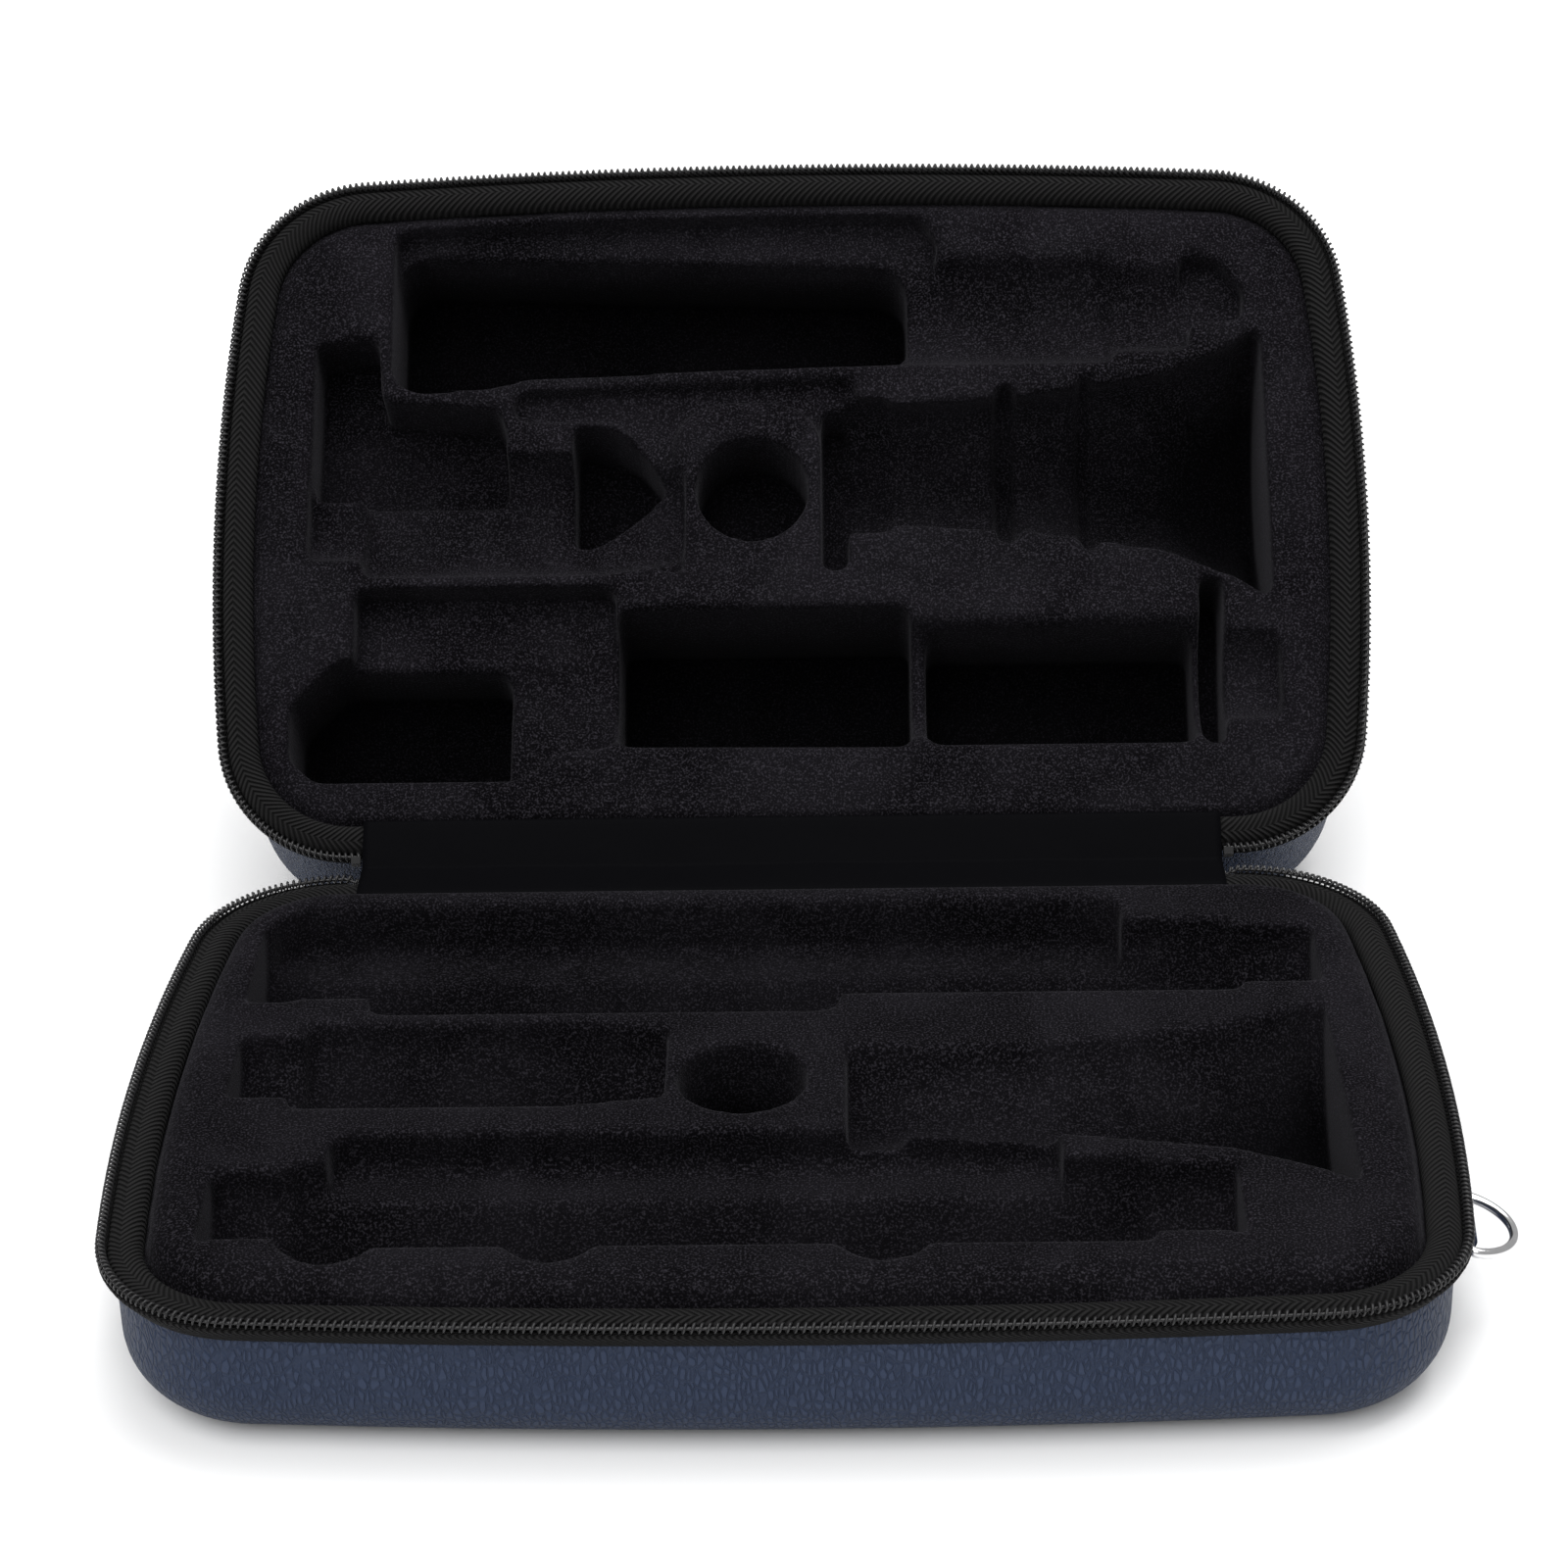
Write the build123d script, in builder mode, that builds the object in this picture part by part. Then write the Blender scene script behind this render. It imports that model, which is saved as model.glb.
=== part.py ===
from build123d import *
import os
from math import acos, asin, atan2, cos, degrees, hypot, radians, sin, sqrt

# Moulded zip case for a clarinet in its separate joints, standing open. Millimetres, +Z up,
# +Y towards the hinge. The origin is the middle of the underside. The lid is modelled shut, above
# the seam plane, and then turned open about the hinge line.

# Rim: the outer edge of the zipper chain seen from above, straight along the hinge side
rim_width = 306.0
front_reach = 101.0
back_reach = 99.0
front_radius = 1918.0
side_radius = 595.0
corner_radius = 36.0

# Shells: 3 mm moulded foam board faced with leatherette
base_height = 38.0
lid_height = 67.4
wall = 3.0
edge_radius = 17.0
wall_setback = 4.0
inner_chamfer = 10.5
rim_drop = 6.0

# Zipper chain and tape round the rim
seam_gap = 0.15
chain_radius = 1.35
chain_sides = 8
chain_dip = 3.4
dip_run = 3.92
chain_tail = 2.8
tape_tail = 0.4
tape_lap = 1.4
tape_top = 3.1
low_tape_top = 5.45

# Padded binding on the inside of each rim
band_inset = 2.85
band_outset = 10.4
band_crest = 1.3
band_shoulder = 2.6
band_flat = 1.7

# Hinge: the line that the lid turns about lies behind the chain
hinge_offset = 2.0
strip_gap = 3.324
strip_face = 0.1
strip_thickness = 0.8
strip_tuck = 5.6
cover_gap = 0.5
cover_thickness = 1.0
cover_lap = 18.0

# Trays: flocked foam, seated in the shells
tray_clearance = 0.2
tray_inset = 11.3
tray_step = 6.3
tray_floor = 2.5
base_crest = 2.5
lid_ledge = 3.5
crest_radius = 6.5
ledge_radius = 2.0

# Beds of the instrument's pieces: y of each axis, its height above the seam, and the piece's
# outline as (x, radius) points
bed_clearance = 1.0
upper_joint_y = -57.0
upper_joint_rise = -1.0
upper_joint = ((-126, 12.5), (-109, 12.5), (-109, 15.5), (80, 15.5), (80, 12.5), (99, 12.5))
upper_joint_lid = ((-60, 15.5), (88, 15.5), (88, 12.5), (107, 12.5))
lower_joint_y = 49.0
lower_joint_rise = -1.0
lower_joint = ((-129, 17.5), (-118, 17.5), (-118, 16), (108, 16), (108, 12.5), (127, 12.5))
lower_joint_lid = ((-113, 16), (108, 16), (108, 12.5), (127, 12.5))
mouthpiece_y = 1.0
mouthpiece_rise = 1.0
mouthpiece = ((-127.5, 12), (-113.5, 12), (-113.5, 17), (-50, 17), (-29, 14))
bell_y = -12.0
bell_rise = 8.0
bell = ((15, 19), (27, 19), (27, 17), (60, 18.5), (100, 25), (118, 33), (126, 38.5))
bell_grooves = (((56, 22.5), (59.5, 22.5)), ((78.5, 25), (80, 25)))
barrel_x = -10.0
barrel_y = -6.0
barrel_radius = 14.0
barrel_length = 62.0

# Rooms beside the beds: (x, y) corners with the lid shut, depth below the seam, corner radius
base_rooms = (
    (((-102, -50), (62, -50), (62, -29), (-102, -29)), 8.0, 5.0),
    (((-128, 52), (82, 52), (82, 77), (-121, 77), (-128, 70)), 12.0, 5.0),
    (((-100, 24), (12, 24), (12, 45), (-100, 45)), 7.0, 5.0),
)
lip_scallops = ((-98.0, -69.0), (-50.0, -69.0), (22.0, -69.0))
scallop_radius = 10.5
scallop_depth = 5.0
front_step = (((-107.5, -84), (-60, -86), (0, -87), (36, -86.4), (40.5, -78), (38, -60), (30, -43),
    (-107.5, -43)), 11.5, 4.0)
key_slot = (((-107.5, -80), (32, -74.6), (32, -42.3), (-70, -38.8), (-83, -35.6), (-107.5, -34.6)), 40.0, 9.0)
tenon_end = (((106, -74), (116, -72), (123, -63), (122, -53), (106, -53)), 12.0, 3.0)
cap_room = (((-128, -50), (-111, -52), (-110, -33), (-78, -30), (-76, -24), (-76, -7), (-128, -7)), 25.0, 2.5)
ligature_room = (((-58, -25), (-48, -24), (-40, -19), (-32.5, -9), (-41, -3), (-48, 2), (-58, 7)), 30.0, 2.5)
valley = (((-74, -34.5), (22, -38), (14, -28), (8, -20), (8, 18), (-36, 18), (-36, -14), (-46, -26),
    (-74, -26)), 8.5, 3.5)
boss = (((-31, -31), (8.4, -31), (8.4, 20), (-31, 20)), 4.2, 13.0)
bell_gap = (((8.4, -30), (15.5, -30), (15.5, 18), (8.4, 18)), 26.0, 2.0)
lower_keys = (
    (((-115, 22), (-46, 22), (-46, 67), (-60, 68.5), (-71, 76), (-115, 76)), 14.0, 3.0),
    (((-119, 42), (-74, 42), (-74, 76), (-124, 76), (-131, 69.5), (-131, 55)), 36.0, 4.0),
    (((-45.5, 28.5), (31.5, 28.5), (31.5, 68), (-45.5, 67)), 42.0, 3.0),
    (((35.5, 34), (105.8, 34), (105.8, 67.5), (35.5, 67.5)), 36.0, 3.0),
    (((107.6, 21), (114, 21), (113, 68), (107.6, 68)), 30.0, 1.5),
)

# D-rings, one at each end of the base
ring_y = -44.0
ring_drop = 14.0
ring_wire = 1.2
wire_sides = 8
ring_half_width = 11.2
ring_corner = 2.5
ring_reach = 11.8
ring_droop = 13.0
wire_clearance = 0.25
fold_radius = 2.7
tab_width = 15.6
fold_standoff = 3.1
tab_length = 9.3
tab_thickness = 1.4
rivet_sides = 12
rivet_radius = 2.4
rivet_drop = 6.4
rivet_spread = 4.0
rivet_height = 0.9

# Zipper sliders and pulls
slider_setback = 5.7
slider_length = 11.0
slider_outside = 1.7
slider_top = 1.15
slider_bottom = 6.2
slider_clearance = 0.2
bail_radius = 0.8
bail_half_width = 4.0
bail_out = 4.4
bail_drop = 4.4
pull_clearance = 0.35
pull_eye_wall = 0.95
pull_eye_length = 4.5
pull_width = 7.0
pull_length = 22.0
pull_thickness = 1.8
stop_length = 2.4
stop_gap = 0.5

# Carry handle on the front wall of the lid
handle_half_span = 62.0
handle_depth = 24.0
handle_standoff = 5.4
handle_fold_radius = 3.0
loop_wire = 1.5
loop_half_width = 10.0
loop_reach = 13.0
loop_corner = 2.5
handle_tab_width = 14.0
handle_tab_length = 12.0
handle_rivet_drop = 8.4
handle_rivet_spread = 3.4
handle_reach = 27.0
grip_width = 14.0
grip_thickness = 7.0
grip_bevel = 1.8

seam = base_height
hinge_y = back_reach + hinge_offset
hinge_axis = Axis((0, hinge_y, seam), (1, 0, 0))


def leaning_angle():
    """Angle from shut at which the lid's rounded roof edge touches what the case stands on."""
    along = wall_setback + hinge_offset + edge_radius
    deep = lid_height - edge_radius
    return degrees(atan2(along, deep) + acos((edge_radius - base_height) / hypot(along, deep)))


lid_open = leaning_angle()


def corner_centres():
    """Centres of the front and back right-hand corner arcs, tangent to the long and short sides."""
    side_x = rim_width / 2 - side_radius
    side_y = (back_reach - front_reach) / 2
    front_y = front_radius - front_reach
    near = front_radius - corner_radius
    far = side_radius - corner_radius
    gap = hypot(side_x, side_y - front_y)
    along = (near**2 - far**2 + gap**2) / (2 * gap)
    across = sqrt(near**2 - along**2)
    to_side = Vector(side_x, side_y - front_y) / gap
    front = Vector(0, front_y) + to_side * along + Vector(-to_side.Y, to_side.X) * across
    back_y = back_reach - corner_radius
    back = Vector(side_x + sqrt(far**2 - (back_y - side_y) ** 2), back_y)
    return front, back, Vector(side_x, side_y), Vector(0, front_y)


front_corner, back_corner, side_centre, front_centre = corner_centres()


# Ends of the chain, tape and hinge cloth, all set out from where the back line meets its corners
dip_start = back_corner.X - dip_run
slider_middle = dip_start - slider_setback
base_chain_end = slider_middle - slider_length / 2 - chain_tail
tape_end = base_chain_end - tape_tail
cover_half_width = tape_end - cover_gap
strip_half_width = back_corner.X - strip_gap
lid_chain_end = strip_half_width + stop_gap


def bearing(tail, head):
    """Direction in degrees from one point to another."""
    return degrees(atan2(head.Y - tail.Y, head.X - tail.X))


front_turn = bearing(front_centre, front_corner)
side_turn = bearing(side_centre, front_corner)
back_turn = bearing(side_centre, back_corner)


def draw_half_rim(inset, start_x):
    """Draw from the back line at start_x round the right-hand end to the middle of the front."""
    corner = corner_radius - inset
    if start_x < back_corner.X:
        Line((start_x, back_reach - inset), (back_corner.X, back_reach - inset))
    CenterArc(back_corner, corner, 90, back_turn - 90)
    CenterArc(side_centre, side_radius - inset, back_turn, side_turn - back_turn)
    CenterArc(front_corner, corner, side_turn, front_turn - side_turn)
    CenterArc(front_centre, front_radius - inset, front_turn, -90 - front_turn)


def rim_face(inset, height):
    """The area inside the rim at a height, everywhere the same distance in from its outer edge."""
    with BuildSketch(Plane.XY.offset(height)) as area:
        with BuildLine():
            draw_half_rim(inset, 0)
            mirror(about=Plane.YZ)
        make_face()
    return area.sketch


def rim_section(side, x):
    """Plane across the back rim: x runs inwards, y away from the seam. side: -1 base, 1 lid."""
    return Plane(origin=(x, back_reach, seam), x_dir=(0, -1, 0), z_dir=(-side, 0, 0))


def rim_strip(side, start_x, outline):
    """Strip of constant section along the rim, both ends start_x from the middle of the back."""
    with BuildPart() as strip:
        with BuildLine():
            draw_half_rim(0, start_x)
        with BuildSketch(rim_section(side, start_x)):
            add(outline)
        sweep()
        mirror(about=Plane.YZ)
    return strip.part


def band_outline():
    """Section of the padded binding: a soft crest over a square foot on the shell's edge."""
    with BuildSketch() as section:
        with BuildLine():
            middle = (band_inset + band_outset) / 2
            Polyline(
                (band_inset, band_shoulder),
                (middle - band_flat, band_crest),
                (middle + band_flat, band_crest),
                (band_outset, band_shoulder),
                (band_outset, rim_drop),
                (wall_setback, rim_drop),
                (band_inset, band_shoulder + 0.8),
                close=True,
            )
        make_face()
    return section.sketch


def tape_outline(top):
    """Section of the zipper tape, flared from the shell wall out to the chain."""
    outer = wall_setback - 1.0 - (7.0 - top) * 0.68
    inner = wall_setback - (rim_drop - top + 0.15) * 0.59
    with BuildSketch() as section:
        with BuildLine():
            Polyline(
                (wall_setback, rim_drop + tape_lap),
                (wall_setback - 1.0, 7.0),
                (outer, top),
                (inner, top - 0.15),
                (wall_setback, rim_drop),
                close=True,
            )
        make_face()
    return section.sketch


def low_tape(side, end_x):
    """Tape beside each end of the cover, turned down under the chain."""
    with BuildPart() as tape:
        with BuildSketch(rim_section(side, tape_end)):
            add(tape_outline(low_tape_top))
        extrude(amount=-side * (end_x - tape_end))
        mirror(about=Plane.YZ)
    return tape.part


def chain_outline(depth):
    """Section of half the chain at a depth from the seam."""
    with BuildSketch() as section:
        with Locations((chain_radius, depth)):
            RegularPolygon(chain_radius, chain_sides)
    return section.sketch


def end_stop(side, near_x, depth):
    """Pair of crimped stops on the chain's ends, open towards the band."""
    with BuildPart() as stop:
        with BuildSketch(rim_section(side, near_x)):
            with Locations(((chain_radius - 0.8) / 2, depth)):
                Rectangle(chain_radius + 0.8, 2 * chain_radius - 0.2)
            add(chain_outline(depth), mode=Mode.SUBTRACT)
        extrude(amount=-side * stop_length)
        mirror(about=Plane.YZ)
    return stop.part


def shell(side, height):
    """One moulded half: rounded edge outside, bevelled inside, open at the seam."""
    rim_z = seam + side * rim_drop
    far = -1 if side > 0 else 0
    with BuildPart() as hollow:
        extrude(rim_face(wall_setback + wall, rim_z), amount=side * (height - wall - rim_drop))
        chamfer(hollow.faces().sort_by(Axis.Z)[far].edges(), inner_chamfer)
    with BuildPart() as half:
        extrude(rim_face(wall_setback, rim_z), amount=side * (height - rim_drop))
        fillet(half.faces().sort_by(Axis.Z)[far].edges(), edge_radius)
        add(hollow.part, mode=Mode.SUBTRACT)
    return half.part


def tray_block(side, height, top_depth, top_radius):
    """Foam block that fills one shell, stepped in past the binding. top_depth is below the seam."""
    step_z = seam + side * tray_step
    far, near = (-1, 0) if side > 0 else (0, -1)
    with BuildPart() as block:
        extrude(rim_face(wall_setback + wall + tray_clearance, step_z), amount=side * (height - wall - tray_step))
        chamfer(block.faces().sort_by(Axis.Z)[far].edges(), inner_chamfer)
        extrude(rim_face(tray_inset, step_z), amount=-side * (tray_step - top_depth))
        fillet(block.faces().sort_by(Axis.Z)[near].edges(), top_radius)
    return block.part


def bed_space(y, rise, outline):
    """Room for one piece of the instrument: its turned outline with clearance all round."""
    spread = [(x, radius + bed_clearance) for x, radius in outline]
    start = spread[0][0] - bed_clearance
    end = spread[-1][0] + bed_clearance
    with BuildPart() as space:
        with BuildSketch(Plane(origin=(0, y, seam + rise), x_dir=(1, 0, 0), z_dir=(0, -1, 0))):
            with BuildLine():
                Polyline((end, spread[-1][1]), (end, 0), (start, 0), (start, spread[0][1]), *spread)
                Line(spread[-1], (end, spread[-1][1]))
            make_face()
        revolve(axis=Axis((0, y, seam + rise), (1, 0, 0)))
    return space.part


def pocket(corners, near_z, far_z, radius):
    """Straight-sided hollow with rounded corners between two heights."""
    with BuildPart() as hollow:
        with BuildSketch(Plane.XY.offset(near_z)) as plan:
            with BuildLine():
                Polyline(*corners, close=True)
            make_face()
            fillet(plan.vertices(), radius)
        extrude(amount=far_z - near_z)
    return hollow.part


def lid_pocket(room, near_depth=0.0):
    """Hollow in the lid tray from a room's corners, depth and corner radius."""
    corners, depth, radius = room
    return pocket(corners, seam + near_depth, seam + depth, radius)


def round_pocket(x, y, radius, near_z, far_z):
    """Upright round hollow between two heights."""
    with BuildPart() as hollow:
        with BuildSketch(Plane.XY.offset(near_z)):
            with Locations((x, y)):
                Circle(radius)
        extrude(amount=far_z - near_z)
    return hollow.part


def bar(start, end, radius):
    """Round bar between two points."""
    along = Vector(*end) - Vector(*start)
    with BuildPart() as rod:
        with BuildSketch(Plane(origin=start, z_dir=along)):
            Circle(radius)
        extrude(amount=along.length)
    return rod.part


def closed_to_rest(piece):
    """Turn a piece modelled on the shut lid to where it is with the lid open."""
    return piece.rotate(hinge_axis, -lid_open)


def hinge_leaf(side, half_width, outline):
    """Half of a flexible strip along the hinge, from its section as (inset, depth) points."""
    with BuildPart() as leaf:
        with BuildSketch(rim_section(side, -half_width)):
            with BuildLine():
                Polyline(*outline, close=True)
            make_face()
        extrude(amount=-side * 2 * half_width)
    return leaf.part


def hinge_bend(half_width, inner, outer):
    """Bent length of a strip round the hinge line, between its two leaves when open."""
    with BuildPart() as bend:
        with BuildSketch(Plane(origin=(0, hinge_y, seam), x_dir=(1, 0, 0), z_dir=(0, -1, 0))):
            with Locations((0, -(inner + outer) / 2)):
                Rectangle(2 * half_width, outer - inner)
        revolve(axis=hinge_axis, revolution_arc=180 - lid_open)
    return bend.part


# Shells
with BuildPart() as base_shell:
    add(shell(-1, base_height))

with BuildPart() as lid_shell:
    add(shell(1, lid_height))

# Padded bindings
with BuildPart() as base_rim_band:
    add(rim_strip(-1, 0, band_outline()))

with BuildPart() as lid_rim_band:
    add(rim_strip(1, 0, band_outline()))

# Zipper tapes
with BuildPart() as base_zipper_tape:
    add(rim_strip(-1, back_corner.X, tape_outline(tape_top)))
    add(low_tape(-1, back_corner.X))

with BuildPart() as lid_zipper_tape:
    add(rim_strip(1, lid_chain_end, tape_outline(tape_top)))
    add(low_tape(1, lid_chain_end))

# Zipper chain halves: the base half dips under the hinge strip into the sliders
chain_depth = seam_gap + chain_radius

with BuildPart() as base_zipper_coil:
    add(rim_strip(-1, back_corner.X, chain_outline(chain_depth)))
    run = (back_corner.X - dip_start) / 2
    drop = (chain_dip - chain_depth) / 2
    bend_radius = (run**2 + drop**2) / (2 * drop)
    half_turn = asin(run / bend_radius) / 2
    ease_x = bend_radius * sin(half_turn)
    ease_z = bend_radius * (1 - cos(half_turn))
    chain_y = back_reach - chain_radius
    low_z = seam - chain_dip
    high_z = seam - chain_depth
    with BuildLine():
        Line((base_chain_end, chain_y, low_z), (dip_start, chain_y, low_z))
        ThreePointArc(
            (dip_start, chain_y, low_z),
            (dip_start + ease_x, chain_y, low_z + ease_z),
            (dip_start + run, chain_y, low_z + drop),
        )
        ThreePointArc(
            (dip_start + run, chain_y, low_z + drop),
            (back_corner.X - ease_x, chain_y, high_z - ease_z),
            (back_corner.X, chain_y, high_z),
        )
    with BuildSketch(rim_section(-1, base_chain_end)):
        add(chain_outline(chain_dip))
    sweep()
    mirror(about=Plane.YZ)

with BuildPart() as lid_zipper_coil:
    add(rim_strip(1, lid_chain_end, chain_outline(chain_depth)))

with BuildPart() as base_zipper_stops:
    add(end_stop(-1, base_chain_end, chain_dip))

with BuildPart() as lid_zipper_stops:
    add(end_stop(1, lid_chain_end, chain_depth))

# Fitted trays, cut for the instrument's pieces lying across the seam
mouthpiece_bed = bed_space(mouthpiece_y, mouthpiece_rise, mouthpiece)
bell_bed = bed_space(bell_y, bell_rise, bell)
barrel_foot = wall + tray_floor
barrel_top = barrel_foot + barrel_length + bed_clearance
barrel_hole = round_pocket(barrel_x, barrel_y, barrel_radius + bed_clearance, barrel_foot, barrel_top)
above = seam + 20

with BuildPart() as base_tray:
    add(tray_block(-1, base_height, -base_crest, crest_radius))
    add(bed_space(upper_joint_y, upper_joint_rise, upper_joint), mode=Mode.SUBTRACT)
    add(bed_space(lower_joint_y, lower_joint_rise, lower_joint), mode=Mode.SUBTRACT)
    add(mouthpiece_bed, mode=Mode.SUBTRACT)
    add(bell_bed, mode=Mode.SUBTRACT)
    add(barrel_hole, mode=Mode.SUBTRACT)
    # Room for the keys beside both joints
    for corners, depth, radius in base_rooms:
        add(pocket(corners, seam - depth, above, radius), mode=Mode.SUBTRACT)
    # Scallops in the front lip where keys stand out from the joint
    for scallop_x, scallop_y in lip_scallops:
        scallop = round_pocket(scallop_x, scallop_y, scallop_radius, seam - scallop_depth, above)
        add(scallop, mode=Mode.SUBTRACT)

with BuildPart() as lid_tray:
    add(tray_block(1, lid_height, lid_ledge, ledge_radius))
    # Lower ground between the beds, with the barrel's boss standing up in it
    add(lid_pocket(valley), mode=Mode.SUBTRACT)
    boss_corners, boss_depth, boss_radius = boss
    add(pocket(boss_corners, seam + boss_depth, seam + valley[1] + 1, boss_radius))
    add(bed_space(upper_joint_y, upper_joint_rise, upper_joint_lid), mode=Mode.SUBTRACT)
    add(bed_space(lower_joint_y, lower_joint_rise, lower_joint_lid), mode=Mode.SUBTRACT)
    add(mouthpiece_bed, mode=Mode.SUBTRACT)
    add(bell_bed, mode=Mode.SUBTRACT)
    for groove in bell_grooves:
        add(bed_space(bell_y, bell_rise, groove), mode=Mode.SUBTRACT)
    add(barrel_hole, mode=Mode.SUBTRACT)
    # Step down to the deep slot for the upper joint's keys, then the deep rooms
    for room in (front_step, key_slot, tenon_end, cap_room, ligature_room, bell_gap, *lower_keys):
        add(lid_pocket(room), mode=Mode.SUBTRACT)

# Inner hinge strip: tucked down between each binding and tray, bent over the hinge line
leg_near = band_outset + 0.05
leg_far = tray_inset - 0.05
strip_back = strip_face + strip_thickness
strip_outline = (
    (-hinge_offset, strip_face),
    (leg_far - 0.6, strip_face),
    (leg_far, strip_face + 0.6),
    (leg_far, strip_tuck),
    (leg_near, strip_tuck),
    (leg_near, strip_back),
    (-hinge_offset, strip_back),
)
with BuildPart() as hinge_strip:
    add(hinge_leaf(-1, strip_half_width, strip_outline))
    add(hinge_bend(strip_half_width, strip_face, strip_back))
    add(closed_to_rest(hinge_leaf(1, strip_half_width, strip_outline)))

# Outer hinge cover: lapped on both back walls, flared out to the hinge line
cover_near = strip_back + 0.1
cover_outline = (
    (-hinge_offset, cover_near),
    (cover_near - 2.0, cover_near),
    (wall_setback, rim_drop),
    (wall_setback, cover_lap),
    (wall_setback - cover_thickness, cover_lap),
    (wall_setback - cover_thickness, rim_drop + cover_thickness),
    (-hinge_offset, cover_near + cover_thickness),
)
with BuildPart() as hinge_cover:
    add(hinge_leaf(-1, cover_half_width, cover_outline))
    add(hinge_bend(cover_half_width, cover_near, cover_near + cover_thickness))
    add(closed_to_rest(hinge_leaf(1, cover_half_width, cover_outline)))

# Sliders: a channel round the dipped chain, open to the tape, with a round bail outside
slider_start = slider_middle - slider_length / 2
channel = chain_radius + slider_clearance
bail_z = seam - bail_drop
bail_y = back_reach + bail_out
with BuildPart() as zipper_slider_right:
    with BuildSketch(rim_section(-1, slider_start)):
        with Locations((0.45, (slider_top + slider_bottom) / 2)):
            RectangleRounded(4.3, slider_bottom - slider_top, 0.6)
        with Locations((chain_radius, chain_dip)):
            RegularPolygon(channel, chain_sides, mode=Mode.SUBTRACT)
        with Locations((chain_radius + 1.5, (chain_dip - channel + slider_bottom + 1) / 2)):
            Rectangle(3.0, slider_bottom + 1 - chain_dip + channel, mode=Mode.SUBTRACT)
    extrude(amount=slider_length)
    bail_foot = (slider_middle - bail_half_width, back_reach + 1, bail_z)
    with BuildLine():
        FilletPolyline(
            bail_foot,
            (slider_middle - bail_half_width, bail_y, bail_z),
            (slider_middle + bail_half_width, bail_y, bail_z),
            (slider_middle + bail_half_width, back_reach + 1, bail_z),
            radius=bail_radius * 1.5,
        )
    with BuildSketch(Plane(origin=bail_foot, x_dir=(1, 0, 0), z_dir=(0, 1, 0))):
        RegularPolygon(bail_radius, wire_sides)
    sweep()

with BuildPart() as zipper_slider_left:
    add(mirror(zipper_slider_right.part, about=Plane.YZ))

# Pulls: an eye on the bail bar and a flat tag with a slot
eye_bore = bail_radius + pull_clearance
eye_radius = eye_bore + pull_eye_wall
with BuildPart() as zipper_pull_right:
    with BuildSketch(Plane(origin=(slider_middle, bail_y, bail_z), x_dir=(1, 0, 0), z_dir=(0, -1, 0))) as tag:
        with Locations((0, -pull_length / 2 - eye_radius + 1.5)):
            RectangleRounded(pull_width, pull_length, 2.6)
            with Locations((0, -4)):
                SlotOverall(9, 2.6, rotation=90, mode=Mode.SUBTRACT)
    extrude(amount=pull_thickness / 2, both=True)
    add(
        bar(
            (slider_middle - pull_eye_length / 2, bail_y, bail_z),
            (slider_middle + pull_eye_length / 2, bail_y, bail_z),
            eye_radius,
        )
    )
    add(
        bar((slider_middle - 10, bail_y, bail_z), (slider_middle + 10, bail_y, bail_z), eye_bore),
        mode=Mode.SUBTRACT,
    )

with BuildPart() as zipper_pull_left:
    add(mirror(zipper_pull_right.part, about=Plane.YZ))

# Ring tabs: leatherette folded round the D-ring's bar and riveted to the end wall
wall_radius = side_radius - wall_setback
ring_turn = asin((ring_y - side_centre.Y) / wall_radius)
ring_out = Vector(cos(ring_turn), sin(ring_turn))
ring_along = Vector(-sin(ring_turn), cos(ring_turn))
ring_wall = Vector(side_centre.X, side_centre.Y, seam - ring_drop) + ring_out * wall_radius
ring_pivot = ring_wall + ring_out * fold_standoff
wall_block = extrude(rim_face(wall_setback, -5), amount=seam + lid_height + 10)


def folded_tab(plane, standoff, fold, bore, width, length, thickness):
    """Folded tab in a plane across its bar: local x out of the wall, local y towards the rivets."""
    with BuildPart() as tab:
        with BuildSketch(plane):
            with BuildLine():
                Polyline(
                    (-0.6, -0.4),
                    (standoff, -0.4),
                    (standoff + fold * 0.94, fold * 0.34),
                    (thickness, fold + 1.2),
                    (thickness, length),
                    (-0.6, length),
                    close=True,
                )
            make_face()
            with Locations((standoff, 0)):
                Circle(fold)
                Circle(bore, mode=Mode.SUBTRACT)
        extrude(amount=width / 2, both=True)
        add(wall_block, mode=Mode.SUBTRACT)
    return tab.part


def rivet(foot, out, radius, height):
    """Low domed rivet head on a shank that goes into the tab."""
    with BuildPart() as head:
        with BuildSketch(Plane(origin=foot, z_dir=out)):
            RegularPolygon(radius, rivet_sides)
        extrude(amount=height)
        chamfer(head.faces().sort_by(Axis(foot, out))[-1].edges(), height * 0.6)
    return head.part


ring_plane = Plane(origin=ring_wall, x_dir=ring_out, z_dir=ring_along)
with BuildPart() as ring_tab_right:
    add(
        folded_tab(
            ring_plane, fold_standoff, fold_radius, ring_wire + wire_clearance, tab_width, tab_length, tab_thickness
        )
    )

with BuildPart() as ring_tab_left:
    add(mirror(ring_tab_right.part, about=Plane.YZ))

with BuildPart() as ring_tab_rivets:
    for spread in (-rivet_spread, rivet_spread):
        rivet_foot = ring_wall + ring_along * spread + ring_out * tab_thickness - Vector(0, 0, rivet_drop)
        add(rivet(rivet_foot, ring_out, rivet_radius, rivet_height))
    mirror(about=Plane.YZ)


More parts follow.
